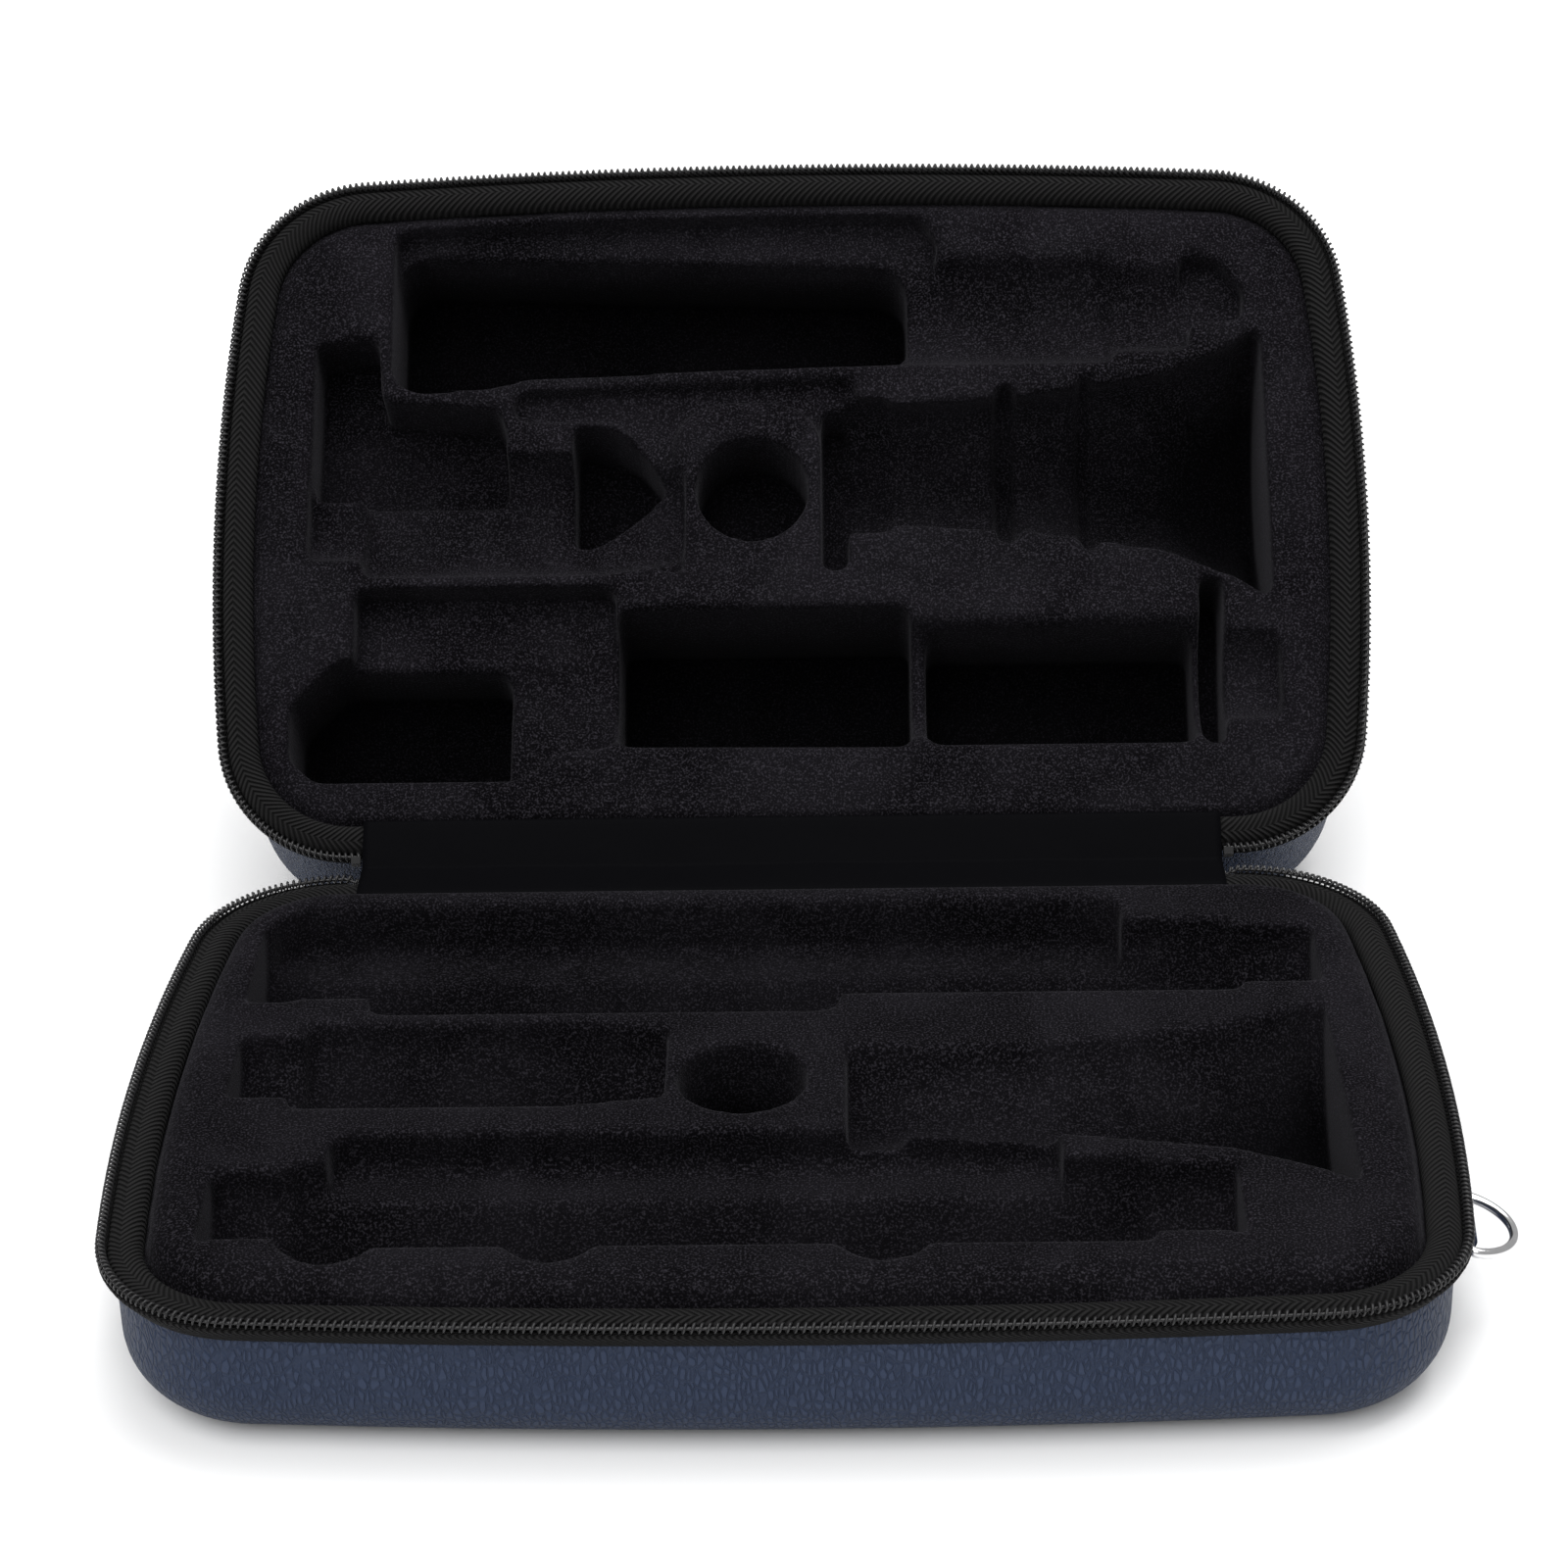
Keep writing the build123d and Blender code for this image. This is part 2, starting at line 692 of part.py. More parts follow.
def d_ring(droop):
    """Bent wire D, its straight bar through the tab, standing out from the wall at a droop."""
    down = radians(droop)
    reach_dir = ring_out * cos(down) - Vector(0, 0, sin(down))
    plane = Plane(origin=ring_pivot, x_dir=reach_dir, z_dir=reach_dir.cross(ring_along))
    centre = ring_reach - ring_half_width
    side_v = sqrt((ring_half_width - ring_corner) ** 2 - (ring_corner - centre) ** 2)
    scale = ring_half_width / (ring_half_width - ring_corner)
    meet = (centre + (ring_corner - centre) * scale, side_v * scale)
    half = (180 + degrees(atan2(side_v, ring_corner - centre))) / 2
    knee = (ring_corner + ring_corner * cos(radians(half)), side_v + ring_corner * sin(radians(half)))
    with BuildPart() as ring:
        with BuildLine(plane):
            Line((0, 0), (0, side_v))
            ThreePointArc((0, side_v), knee, meet)
            ThreePointArc(meet, (ring_reach, 0), (meet[0], -meet[1]))
            ThreePointArc((meet[0], -meet[1]), (knee[0], -knee[1]), (0, -side_v))
            Line((0, -side_v), (0, 0))
        with BuildSketch(Plane(origin=ring_pivot, x_dir=reach_dir, z_dir=ring_along)):
            RegularPolygon(ring_wire, wire_sides)
        sweep()
    return ring.part


with BuildPart() as d_ring_right:
    add(d_ring(ring_droop))

with BuildPart() as d_ring_left:
    add(mirror(d_ring(90), about=Plane.YZ))

# Carry handle on the lid's front wall: tabs, wire loops and a padded grip lying along the wall
front_wall_y = front_centre.Y - sqrt((front_radius - wall_setback) ** 2 - handle_half_span**2)
handle_y = front_wall_y - handle_standoff
handle_z = seam + handle_depth
with BuildPart() as handle_tabs:
    for tab_x in (-handle_half_span, handle_half_span):
        add(
            folded_tab(
                Plane(origin=(tab_x, front_wall_y, handle_z), x_dir=(0, -1, 0), z_dir=(1, 0, 0)),
                handle_standoff,
                handle_fold_radius,
                loop_wire + wire_clearance,
                handle_tab_width,
                handle_tab_length,
                tab_thickness,
            )
        )

with BuildPart() as handle_rivets:
    for rivet_x in (handle_half_span - handle_rivet_spread, handle_half_span + handle_rivet_spread):
        rivet_foot = (rivet_x, front_wall_y - tab_thickness, handle_z - handle_rivet_drop)
        add(rivet(rivet_foot, (0, -1, 0), rivet_radius, rivet_height))
    mirror(about=Plane.YZ)

with BuildPart() as handle_loops:
    with BuildLine(Plane(origin=(handle_half_span, handle_y, handle_z), x_dir=(1, 0, 0), z_dir=(0, -1, 0))):
        FilletPolyline(
            (0, 0),
            (loop_half_width, 0),
            (loop_half_width, loop_reach),
            (0, loop_reach),
            radius=loop_corner,
        )
    with BuildSketch(Plane(origin=(handle_half_span, handle_y, handle_z), z_dir=(1, 0, 0))):
        RegularPolygon(loop_wire, wire_sides)
    sweep()
    mirror(about=Plane.YZ.offset(handle_half_span))
    mirror(about=Plane.YZ)

with BuildPart() as handle_grip:
    with BuildSketch(Plane(origin=(0, handle_y, handle_z), x_dir=(1, 0, 0), z_dir=(0, -1, 0))) as grip_plan:
        with BuildLine():
            Polyline(
                (handle_half_span + grip_width / 2, loop_reach - 4),
                (handle_half_span + grip_width / 2, 22),
                (50, handle_reach + grip_width / 2),
                (-50, handle_reach + grip_width / 2),
                (-handle_half_span - grip_width / 2, 22),
                (-handle_half_span - grip_width / 2, loop_reach - 4),
                (-handle_half_span + grip_width / 2, loop_reach - 4),
                (-handle_half_span + grip_width / 2, 17),
                (-44, handle_reach - grip_width / 2),
                (44, handle_reach - grip_width / 2),
                (handle_half_span - grip_width / 2, 17),
                (handle_half_span - grip_width / 2, loop_reach - 4),
                close=True,
            )
        make_face()
        fillet(grip_plan.vertices(), 3)
    extrude(amount=grip_thickness / 2, both=True)
    chamfer(handle_grip.edges().filter_by(Plane.XZ), grip_bevel)
    for loop_x in (-handle_half_span, handle_half_span):
        bore_z = handle_z + loop_reach
        ends = [(loop_x - loop_half_width, handle_y, bore_z), (loop_x + loop_half_width, handle_y, bore_z)]
        add(bar(ends[0], ends[1], loop_wire + 0.05), mode=Mode.SUBTRACT)

# Open the lid with everything on it
for on_lid in (
    lid_shell, lid_tray, lid_rim_band, lid_zipper_tape, lid_zipper_coil, lid_zipper_stops,
    handle_tabs, handle_rivets, handle_loops, handle_grip,
):
    on_lid.part = closed_to_rest(on_lid.part)

base_shell.part.label = "base_shell"
base_tray.part.label = "base_tray"
base_rim_band.part.label = "base_rim_band"
base_zipper_tape.part.label = "base_zipper_tape"
base_zipper_coil.part.label = "base_zipper_coil"
base_zipper_stops.part.label = "base_zipper_stops"
lid_shell.part.label = "lid_shell"
lid_tray.part.label = "lid_tray"
lid_rim_band.part.label = "lid_rim_band"
lid_zipper_tape.part.label = "lid_zipper_tape"
lid_zipper_coil.part.label = "lid_zipper_coil"
lid_zipper_stops.part.label = "lid_zipper_stops"
hinge_strip.part.label = "hinge_strip"
hinge_cover.part.label = "hinge_cover"
zipper_slider_left.part.label = "zipper_slider_left"
zipper_slider_right.part.label = "zipper_slider_right"
zipper_pull_left.part.label = "zipper_pull_left"
zipper_pull_right.part.label = "zipper_pull_right"
ring_tab_left.part.label = "ring_tab_left"
ring_tab_right.part.label = "ring_tab_right"
ring_tab_rivets.part.label = "ring_tab_rivets"
d_ring_left.part.label = "d_ring_left"
d_ring_right.part.label = "d_ring_right"
handle_tabs.part.label = "handle_tabs"
handle_rivets.part.label = "handle_rivets"
handle_loops.part.label = "handle_loops"
handle_grip.part.label = "handle_grip"

os.makedirs("parts", exist_ok=True)
for piece in (
    base_shell, base_tray, base_rim_band, base_zipper_tape, base_zipper_coil, base_zipper_stops,
    lid_shell, lid_tray, lid_rim_band, lid_zipper_tape, lid_zipper_coil, lid_zipper_stops,
    hinge_strip, hinge_cover, zipper_slider_left, zipper_slider_right, zipper_pull_left,
    zipper_pull_right, ring_tab_left, ring_tab_right, ring_tab_rivets, d_ring_left, d_ring_right,
    handle_tabs, handle_rivets, handle_loops, handle_grip,
):
    export_step(piece.part, f"parts/{piece.part.label}.step")
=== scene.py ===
from math import atan2, cos, pi, radians, sin, sqrt

import bmesh
import bpy
from mathutils import Matrix, Vector


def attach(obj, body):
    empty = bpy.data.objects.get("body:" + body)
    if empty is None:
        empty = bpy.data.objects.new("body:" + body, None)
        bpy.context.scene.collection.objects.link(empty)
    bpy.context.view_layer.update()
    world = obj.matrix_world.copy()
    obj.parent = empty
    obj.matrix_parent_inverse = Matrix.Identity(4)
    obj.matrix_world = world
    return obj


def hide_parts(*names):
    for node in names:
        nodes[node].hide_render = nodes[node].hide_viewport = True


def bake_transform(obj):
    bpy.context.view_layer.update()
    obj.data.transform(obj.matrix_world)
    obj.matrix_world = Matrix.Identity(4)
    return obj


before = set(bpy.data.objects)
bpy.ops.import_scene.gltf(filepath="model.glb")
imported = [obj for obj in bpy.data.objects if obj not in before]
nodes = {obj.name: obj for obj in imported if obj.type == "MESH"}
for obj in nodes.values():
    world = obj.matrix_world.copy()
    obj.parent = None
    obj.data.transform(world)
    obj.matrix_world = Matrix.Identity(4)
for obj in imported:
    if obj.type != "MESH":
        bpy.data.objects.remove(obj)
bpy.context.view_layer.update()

bpy.ops.object.select_all(action="DESELECT")

# Shells: two moulded boxes of foam board wrapped in navy leatherette, glued and turned in at the
# rim. The embossed grain is of pebbles 1.5 mm wide and 3 mm long, with fine creases between them,
# darkened with painted shade.
leatherette = bpy.data.materials.new("navy_leatherette")
leatherette.use_nodes = True
tree = leatherette.node_tree
hide = tree.nodes["Principled BSDF"]
hide.inputs["Roughness"].default_value = 0.5
hide.inputs["Specular IOR Level"].default_value = 0.1
place = tree.nodes.new("ShaderNodeTexCoord")
wander = tree.nodes.new("ShaderNodeTexNoise")
wander.inputs["Scale"].default_value = 210
wander.inputs["Detail"].default_value = 2
tree.links.new(place.outputs["Object"], wander.inputs["Vector"])
shift = tree.nodes.new("ShaderNodeVectorMath")
shift.operation = "MULTIPLY_ADD"
shift.inputs[1].default_value = (0.0011, 0.0011, 0.0011)
tree.links.new(wander.outputs["Color"], shift.inputs[0])
tree.links.new(place.outputs["Object"], shift.inputs[2])
stretch = tree.nodes.new("ShaderNodeMapping")
stretch.inputs["Scale"].default_value = (1.2, 1.1, 0.52)
tree.links.new(shift.outputs["Vector"], stretch.inputs["Vector"])
pebbles = tree.nodes.new("ShaderNodeTexVoronoi")
pebbles.feature = "DISTANCE_TO_EDGE"
pebbles.inputs["Scale"].default_value = 600
tree.links.new(stretch.outputs["Vector"], pebbles.inputs["Vector"])
crease = tree.nodes.new("ShaderNodeMapRange")
crease.interpolation_type = "SMOOTHSTEP"
crease.inputs["From Max"].default_value = 0.24
tree.links.new(pebbles.outputs["Distance"], crease.inputs["Value"])
pores = tree.nodes.new("ShaderNodeTexNoise")
pores.inputs["Scale"].default_value = 1900
pores.inputs["Detail"].default_value = 3
tree.links.new(place.outputs["Object"], pores.inputs["Vector"])
grain = tree.nodes.new("ShaderNodeMath")
grain.operation = "MULTIPLY_ADD"
grain.inputs[1].default_value = 0.22
tree.links.new(pores.outputs["Fac"], grain.inputs[0])
tree.links.new(crease.outputs["Result"], grain.inputs[2])
emboss = tree.nodes.new("ShaderNodeBump")
emboss.inputs["Strength"].default_value = 0.8
emboss.inputs["Distance"].default_value = 0.0006
tree.links.new(grain.outputs["Value"], emboss.inputs["Height"])
tree.links.new(emboss.outputs["Normal"], hide.inputs["Normal"])
cloud = tree.nodes.new("ShaderNodeTexNoise")
cloud.inputs["Scale"].default_value = 14
cloud.inputs["Detail"].default_value = 4
tree.links.new(place.outputs["Object"], cloud.inputs["Vector"])
dye = tree.nodes.new("ShaderNodeMix")
dye.data_type = "RGBA"
dye.inputs["A"].default_value = (0.0235, 0.033, 0.0605, 1)
dye.inputs["B"].default_value = (0.03, 0.0412, 0.0735, 1)
tree.links.new(cloud.outputs["Fac"], dye.inputs["Factor"])
# Painted shade: the creases between the pebbles are darkened.
painted_crease_shade = tree.nodes.new("ShaderNodeMix")
painted_crease_shade.data_type = "RGBA"
painted_crease_shade.inputs["A"].default_value = (0.0205, 0.0288, 0.053, 1)
tree.links.new(crease.outputs["Result"], painted_crease_shade.inputs["Factor"])
tree.links.new(dye.outputs["Result"], painted_crease_shade.inputs["B"])
tree.links.new(painted_crease_shade.outputs["Result"], hide.inputs["Base Color"])
for name in ("base_shell", "lid_shell"):
    nodes[name].data.materials.clear()
    nodes[name].data.materials.append(leatherette)

# Fitted trays: foam pressed to the shape of the clarinet's pieces and faced with black flocked
# knit, so every edge is soft. The pile is brushed in patches and shows the knit's fine rows; its
# colour also carries painted shade in the recesses and painted glints.
flock = bpy.data.materials.new("black_flock")
flock.use_nodes = True
tree = flock.node_tree
pile = tree.nodes["Principled BSDF"]
pile.inputs["Roughness"].default_value = 1
pile.inputs["Specular IOR Level"].default_value = 0.01
pile.inputs["Sheen Weight"].default_value = 0.034
pile.inputs["Sheen Roughness"].default_value = 0.38
pile.inputs["Sheen Tint"].default_value = (0.92, 0.9, 1, 1)
place = tree.nodes.new("ShaderNodeTexCoord")
brushed = tree.nodes.new("ShaderNodeTexNoise")
brushed.inputs["Scale"].default_value = 26
brushed.inputs["Detail"].default_value = 5
brushed.inputs["Roughness"].default_value = 0.6
brushed.inputs["Distortion"].default_value = 0.7
tree.links.new(place.outputs["Object"], brushed.inputs["Vector"])
lay = tree.nodes.new("ShaderNodeValToRGB")
lay.color_ramp.elements[0].position = 0.38
lay.color_ramp.elements[0].color = (0.0022, 0.002, 0.0025, 1)
lay.color_ramp.elements[1].position = 0.64
lay.color_ramp.elements[1].color = (0.0056, 0.0052, 0.0064, 1)
tree.links.new(brushed.outputs["Fac"], lay.inputs["Fac"])
# Painted glints: bright specks from a fine noise are mixed into the pile's colour.
specks = tree.nodes.new("ShaderNodeTexNoise")
specks.inputs["Scale"].default_value = 1900
specks.inputs["Detail"].default_value = 2
tree.links.new(place.outputs["Object"], specks.inputs["Vector"])
glint = tree.nodes.new("ShaderNodeMapRange")
glint.inputs["From Min"].default_value = 0.5
glint.inputs["From Max"].default_value = 0.78
tree.links.new(specks.outputs["Fac"], glint.inputs["Value"])
pile_glints = tree.nodes.new("ShaderNodeMix")
pile_glints.data_type = "RGBA"
pile_glints.inputs["B"].default_value = (0.029, 0.027, 0.033, 1)
tree.links.new(glint.outputs["Result"], pile_glints.inputs["Factor"])
tree.links.new(lay.outputs["Color"], pile_glints.inputs["A"])
rows = tree.nodes.new("ShaderNodeTexWave")
rows.inputs["Scale"].default_value = 240
rows.inputs["Distortion"].default_value = 2.2
rows.inputs["Detail Scale"].default_value = 0.12
tree.links.new(place.outputs["Object"], rows.inputs["Vector"])
# Painted shade: below a given depth the pile's colour darkens towards near black, the deeper the
# darker, standing in for the shade in the trays' recesses.
recess_shade_depth = tree.nodes.new("ShaderNodeAttribute")
recess_shade_depth.attribute_name = "recess_shade_depth"
recess_shade_amount = tree.nodes.new("ShaderNodeMapRange")
recess_shade_amount.inputs["From Max"].default_value = 0.016
recess_shade_amount.inputs["To Max"].default_value = 0.82
tree.links.new(recess_shade_depth.outputs["Fac"], recess_shade_amount.inputs["Value"])
painted_recess_shade = tree.nodes.new("ShaderNodeMix")
painted_recess_shade.data_type = "RGBA"
painted_recess_shade.inputs["B"].default_value = (0.0003, 0.0003, 0.0004, 1)
tree.links.new(recess_shade_amount.outputs["Result"], painted_recess_shade.inputs["Factor"])
tree.links.new(pile_glints.outputs["Result"], painted_recess_shade.inputs["A"])
tree.links.new(painted_recess_shade.outputs["Result"], pile.inputs["Base Color"])
stitch = tree.nodes.new("ShaderNodeMath")
stitch.operation = "MULTIPLY_ADD"
stitch.inputs[1].default_value = 0.16
tree.links.new(rows.outputs["Fac"], stitch.inputs[0])
tree.links.new(specks.outputs["Fac"], stitch.inputs[2])
nap = tree.nodes.new("ShaderNodeBump")
nap.inputs["Strength"].default_value = 0.6
nap.inputs["Distance"].default_value = 0.0003
tree.links.new(stitch.outputs["Value"], nap.inputs["Height"])
tree.links.new(nap.outputs["Normal"], pile.inputs["Normal"])

seam = 0.038
hinge_line = Vector((0, 0.101, seam))
lid_open = radians(136.8051)
lid_faces = Matrix.Rotation(-lid_open, 3, "X") @ Vector((0, 0, -1))


def from_solid(name, node, weld):
    """A new piece with a solid's mesh, welded where its faces meet."""
    piece = bpy.data.objects.new(name, nodes[node].data.copy())
    bpy.context.scene.collection.objects.link(piece)
    bpy.context.view_layer.objects.active = piece
    piece.select_set(True)
    bpy.ops.object.mode_set(mode="EDIT")
    bpy.ops.mesh.select_all(action="SELECT")
    bpy.ops.mesh.remove_doubles(threshold=weld)
    bpy.ops.object.mode_set(mode="OBJECT")
    return piece


def roll_edges(piece, cell, rounds, share=1):
    """Round every edge over, as pressing leaves foam, and keep a share of the faces."""
    pressing = piece.modifiers.new("press", "REMESH")
    pressing.mode = "VOXEL"
    pressing.voxel_size = cell
    rolling = piece.modifiers.new("roll", "SMOOTH")
    rolling.factor = 0.5
    rolling.iterations = rounds
    steps = [pressing, rolling]
    if share < 1:
        steps.append(piece.modifiers.new("thin", "DECIMATE"))
        steps[-1].ratio = share
    for step in steps:
        bpy.ops.object.modifier_apply(modifier=step.name)
    bpy.ops.object.shade_smooth()


def tray_with_painted_shade(name, node, body, out_of_foam, shade_from, share):
    """A tray's foam, with painted shade that darkens it the deeper it lies below a given depth."""
    tray = from_solid(name, node, weld=0.000005)
    roll_edges(tray, cell=0.0013, rounds=9, share=share)
    # Painted shade: each point keeps how far it lies below the given depth, to darken the recesses.
    shade_depths = tray.data.attributes.new("recess_shade_depth", "FLOAT", "POINT")
    for vertex, depth in zip(tray.data.vertices, shade_depths.data):
        depth.value = max(0, (hinge_line - vertex.co).dot(out_of_foam) - shade_from)
    tray.data.materials.clear()
    tray.data.materials.append(flock)
    tray.select_set(False)
    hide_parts(node)
    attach(tray, body)


tray_with_painted_shade("base_fitted_tray", "base_tray", "base", Vector((0, 0, 1)), 0.007, 0.9)
tray_with_painted_shade("lid_fitted_tray", "lid_tray", "lid", lid_faces, 0.02, 0.58)

# Rim bindings: padded herringbone twill tape sewn round the inside of each rim. It runs over a
# soft roll from the zipper chain down to the tray.
mm = 0.001
swing_open = Matrix.Rotation(-lid_open, 4, "X")
to_rest = Matrix.Translation(hinge_line) @ swing_open @ Matrix.Translation(-hinge_line)
back_reach = 0.099
corner_radius = 0.036
long_centre = Vector((0, 1.817))
long_radius = 1.918
side_centre = Vector((-0.442, -0.001))
side_radius = 0.595
near = long_radius - corner_radius
far = side_radius - corner_radius
corner_y = back_reach - corner_radius
corner_x = side_centre.x + sqrt(far**2 - (corner_y - side_centre.y) ** 2)
back_corner = Vector((corner_x, corner_y))
gap = (side_centre - long_centre).length
along = (near**2 - far**2 + gap**2) / (2 * gap)
aim = (side_centre - long_centre) / gap
front_corner = long_centre + aim * along + Vector((-aim.y, aim.x)) * sqrt(near**2 - along**2)


def heading(tail, head):
    """Direction from one point to another."""
    return atan2(head.y - tail.y, head.x - tail.x)


front_turn = heading(long_centre, front_corner)
side_turn = heading(side_centre, front_corner)
back_turn = heading(side_centre, back_corner)
rim_arcs = (
    (back_corner, corner_radius, pi / 2, back_turn, 16),
    (side_centre, side_radius, back_turn, side_turn, 14),
    (front_corner, corner_radius, side_turn, front_turn, 16),
    (long_centre, long_radius, front_turn, -pi / 2, 14),
)
half_rim = sum(radius * (start - end) for centre, radius, start, end, steps in rim_arcs)


def rim_place(x, y):
    """A point's distance along the rim from the middle of the front, and its inset."""
    side = -1 if x < 0 else 1
    point = Vector((abs(x), y))
    if point.y > back_corner.y and point.x <= back_corner.x:
        return side * (half_rim + back_corner.x - point.x), back_reach - point.y
    travel = half_rim
    for centre, radius, start, end, steps in rim_arcs:
        turn = heading(centre, point)
        if turn >= end or centre is long_centre:
            return side * (travel - radius * (start - turn)), radius - (point - centre).length
        travel -= radius * (start - end)


def round_the_rim(name, section, start_x, spun=True):
    """Run a section of (inset, depth) points in mm from the back to the front, and mirror it."""
    bpy.ops.mesh.primitive_circle_add(vertices=len(section))
    strip = bpy.context.object
    strip.name = name
    bpy.ops.object.mode_set(mode="EDIT")
    mesh = bmesh.from_edit_mesh(strip.data)
    mesh.verts.ensure_lookup_table()
    for vertex, (inset, depth) in zip(list(mesh.verts), section):
        vertex.co = (start_x, back_reach - inset * mm, seam - depth * mm)
    for part in (*mesh.verts, *mesh.edges):
        part.select = True
    bmesh.update_edit_mesh(strip.data)
    straight = back_corner.x - start_x
    if straight > 0:
        bpy.ops.mesh.extrude_region_move(TRANSFORM_OT_translate={"value": (straight, 0, 0)})
    for centre, radius, start, end, steps in rim_arcs if spun else ():
        pin = (centre.x, centre.y, seam)
        bpy.ops.mesh.spin(steps=steps, angle=start - end, center=pin, axis=(0, 0, 1))
    bpy.ops.object.mode_set(mode="OBJECT")
    other = strip.modifiers.new("other_half", "MIRROR")
    other.use_clip = True
    other.merge_threshold = 0.00002
    bpy.ops.object.modifier_apply(modifier=other.name)
    bpy.ops.object.mode_set(mode="EDIT")
    bpy.ops.mesh.select_all(action="SELECT")
    bpy.ops.mesh.remove_doubles(threshold=0.00001)
    bpy.ops.mesh.fill_holes(sides=len(section))
    bpy.ops.mesh.normals_make_consistent(inside=False)
    bpy.ops.object.mode_set(mode="OBJECT")
    return strip


def measure_along(strip, depth_too=False):
    """A UV map in mm, along the rim and across it. A middle point takes its face's side."""
    layer = strip.data.uv_layers.new(name="along_the_rim")
    for face in strip.data.polygons:
        near_side = 1e-7 if face.center.x > 0 else -1e-7
        for loop in face.loop_indices:
            spot = strip.data.vertices[strip.data.loops[loop].vertex_index].co
            travel, across = rim_place(spot.x if abs(spot.x) > 1e-6 else near_side, spot.y)
            if depth_too:
                across += seam - spot.z
            layer.data[loop].uv = (travel / mm, across / mm)


def finish_strip(strip, material, body):
    """Material, shading and body of a strip; one on the lid is turned open first."""
    strip.data.materials.clear()
    strip.data.materials.append(material)
    for face in strip.data.polygons:
        face.use_smooth = True
    if body == "lid":
        strip.data.transform(Matrix.Diagonal((1, 1, -1, 1)) @ Matrix.Translation((0, 0, -2 * seam)))
        strip.data.flip_normals()
        strip.data.transform(to_rest)
    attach(strip, body)
    strip.select_set(False)


def twill(name, pitch, middle, tone, lift):
    """Herringbone twill on the along-the-rim map: two slants that meet on a middle line."""
    cloth = bpy.data.materials.new(name)
    cloth.use_nodes = True
    tree = cloth.node_tree
    thread = tree.nodes["Principled BSDF"]
    thread.inputs["Roughness"].default_value = 0.72
    thread.inputs["Specular IOR Level"].default_value = 0.05
    thread.inputs["Sheen Weight"].default_value = 0.02
    place = tree.nodes.new("ShaderNodeUVMap")
    place.uv_map = "along_the_rim"
    split = tree.nodes.new("ShaderNodeSeparateXYZ")
    tree.links.new(place.outputs["UV"], split.inputs["Vector"])
    fold = tree.nodes.new("ShaderNodeMath")
    fold.operation = "SUBTRACT"
    fold.inputs[1].default_value = middle
    tree.links.new(split.outputs["Y"], fold.inputs[0])
    mirror = tree.nodes.new("ShaderNodeMath")
    mirror.operation = "ABSOLUTE"
    tree.links.new(fold.outputs["Value"], mirror.inputs[0])
    slant = tree.nodes.new("ShaderNodeMath")
    slant.operation = "MULTIPLY_ADD"
    slant.inputs[1].default_value = 1.15
    tree.links.new(mirror.outputs["Value"], slant.inputs[0])
    tree.links.new(split.outputs["X"], slant.inputs[2])
    turns = tree.nodes.new("ShaderNodeMath")
    turns.operation = "MULTIPLY"
    turns.inputs[1].default_value = 2 * pi / pitch
    tree.links.new(slant.outputs["Value"], turns.inputs[0])
    ribs = tree.nodes.new("ShaderNodeMath")
    ribs.operation = "SINE"
    tree.links.new(turns.outputs["Value"], ribs.inputs[0])
    shade = tree.nodes.new("ShaderNodeMapRange")
    shade.inputs["From Min"].default_value = -1
    tree.links.new(ribs.outputs["Value"], shade.inputs["Value"])
    yarn = tree.nodes.new("ShaderNodeTexNoise")
    yarn.inputs["Scale"].default_value = 2.4
    yarn.inputs["Detail"].default_value = 3
    tree.links.new(place.outputs["UV"], yarn.inputs["Vector"])
    mix = tree.nodes.new("ShaderNodeMix")
    mix.data_type = "RGBA"
    mix.inputs["A"].default_value = (tone * 0.1, tone * 0.1, tone * 0.11, 1)
    mix.inputs["B"].default_value = (tone * 2.4, tone * 2.34, tone * 2.4, 1)
    tree.links.new(shade.outputs["Result"], mix.inputs["Factor"])
    worn = tree.nodes.new("ShaderNodeMix")
    worn.data_type = "RGBA"
    worn.inputs["B"].default_value = (tone * 0.7, tone * 0.68, tone * 0.7, 1)
    wear = tree.nodes.new("ShaderNodeMath")
    wear.operation = "MULTIPLY"
    wear.inputs[1].default_value = 0.6
    tree.links.new(yarn.outputs["Fac"], wear.inputs[0])
    tree.links.new(wear.outputs["Value"], worn.inputs["Factor"])
    tree.links.new(mix.outputs["Result"], worn.inputs["A"])
    tree.links.new(worn.outputs["Result"], thread.inputs["Base Color"])
    weave = tree.nodes.new("ShaderNodeBump")
    weave.inputs["Strength"].default_value = lift
    weave.inputs["Distance"].default_value = 0.0004
    tree.links.new(ribs.outputs["Value"], weave.inputs["Height"])
    tree.links.new(weave.outputs["Normal"], thread.inputs["Normal"])
    return cloth


binding_twill = twill("binding_twill", pitch=1.9, middle=5.6, tone=0.0062, lift=1)
binding = (
    (2.9, 4.4), (2.75, 3.3), (2.9, 2.4), (3.5, 1.75), (4.5, 1.4), (5.6, 1.28), (6.6, 1.25),
    (7.7, 1.35), (8.8, 1.7), (9.7, 2.3), (10.2, 3.1), (10.4, 4.1), (10.4, 6), (4, 6),
)
for body in ("base", "lid"):
    roll = round_the_rim(body + "_binding", binding, start_x=0)
    measure_along(roll)
    finish_strip(roll, binding_twill, body)
    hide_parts(body + "_rim_band")

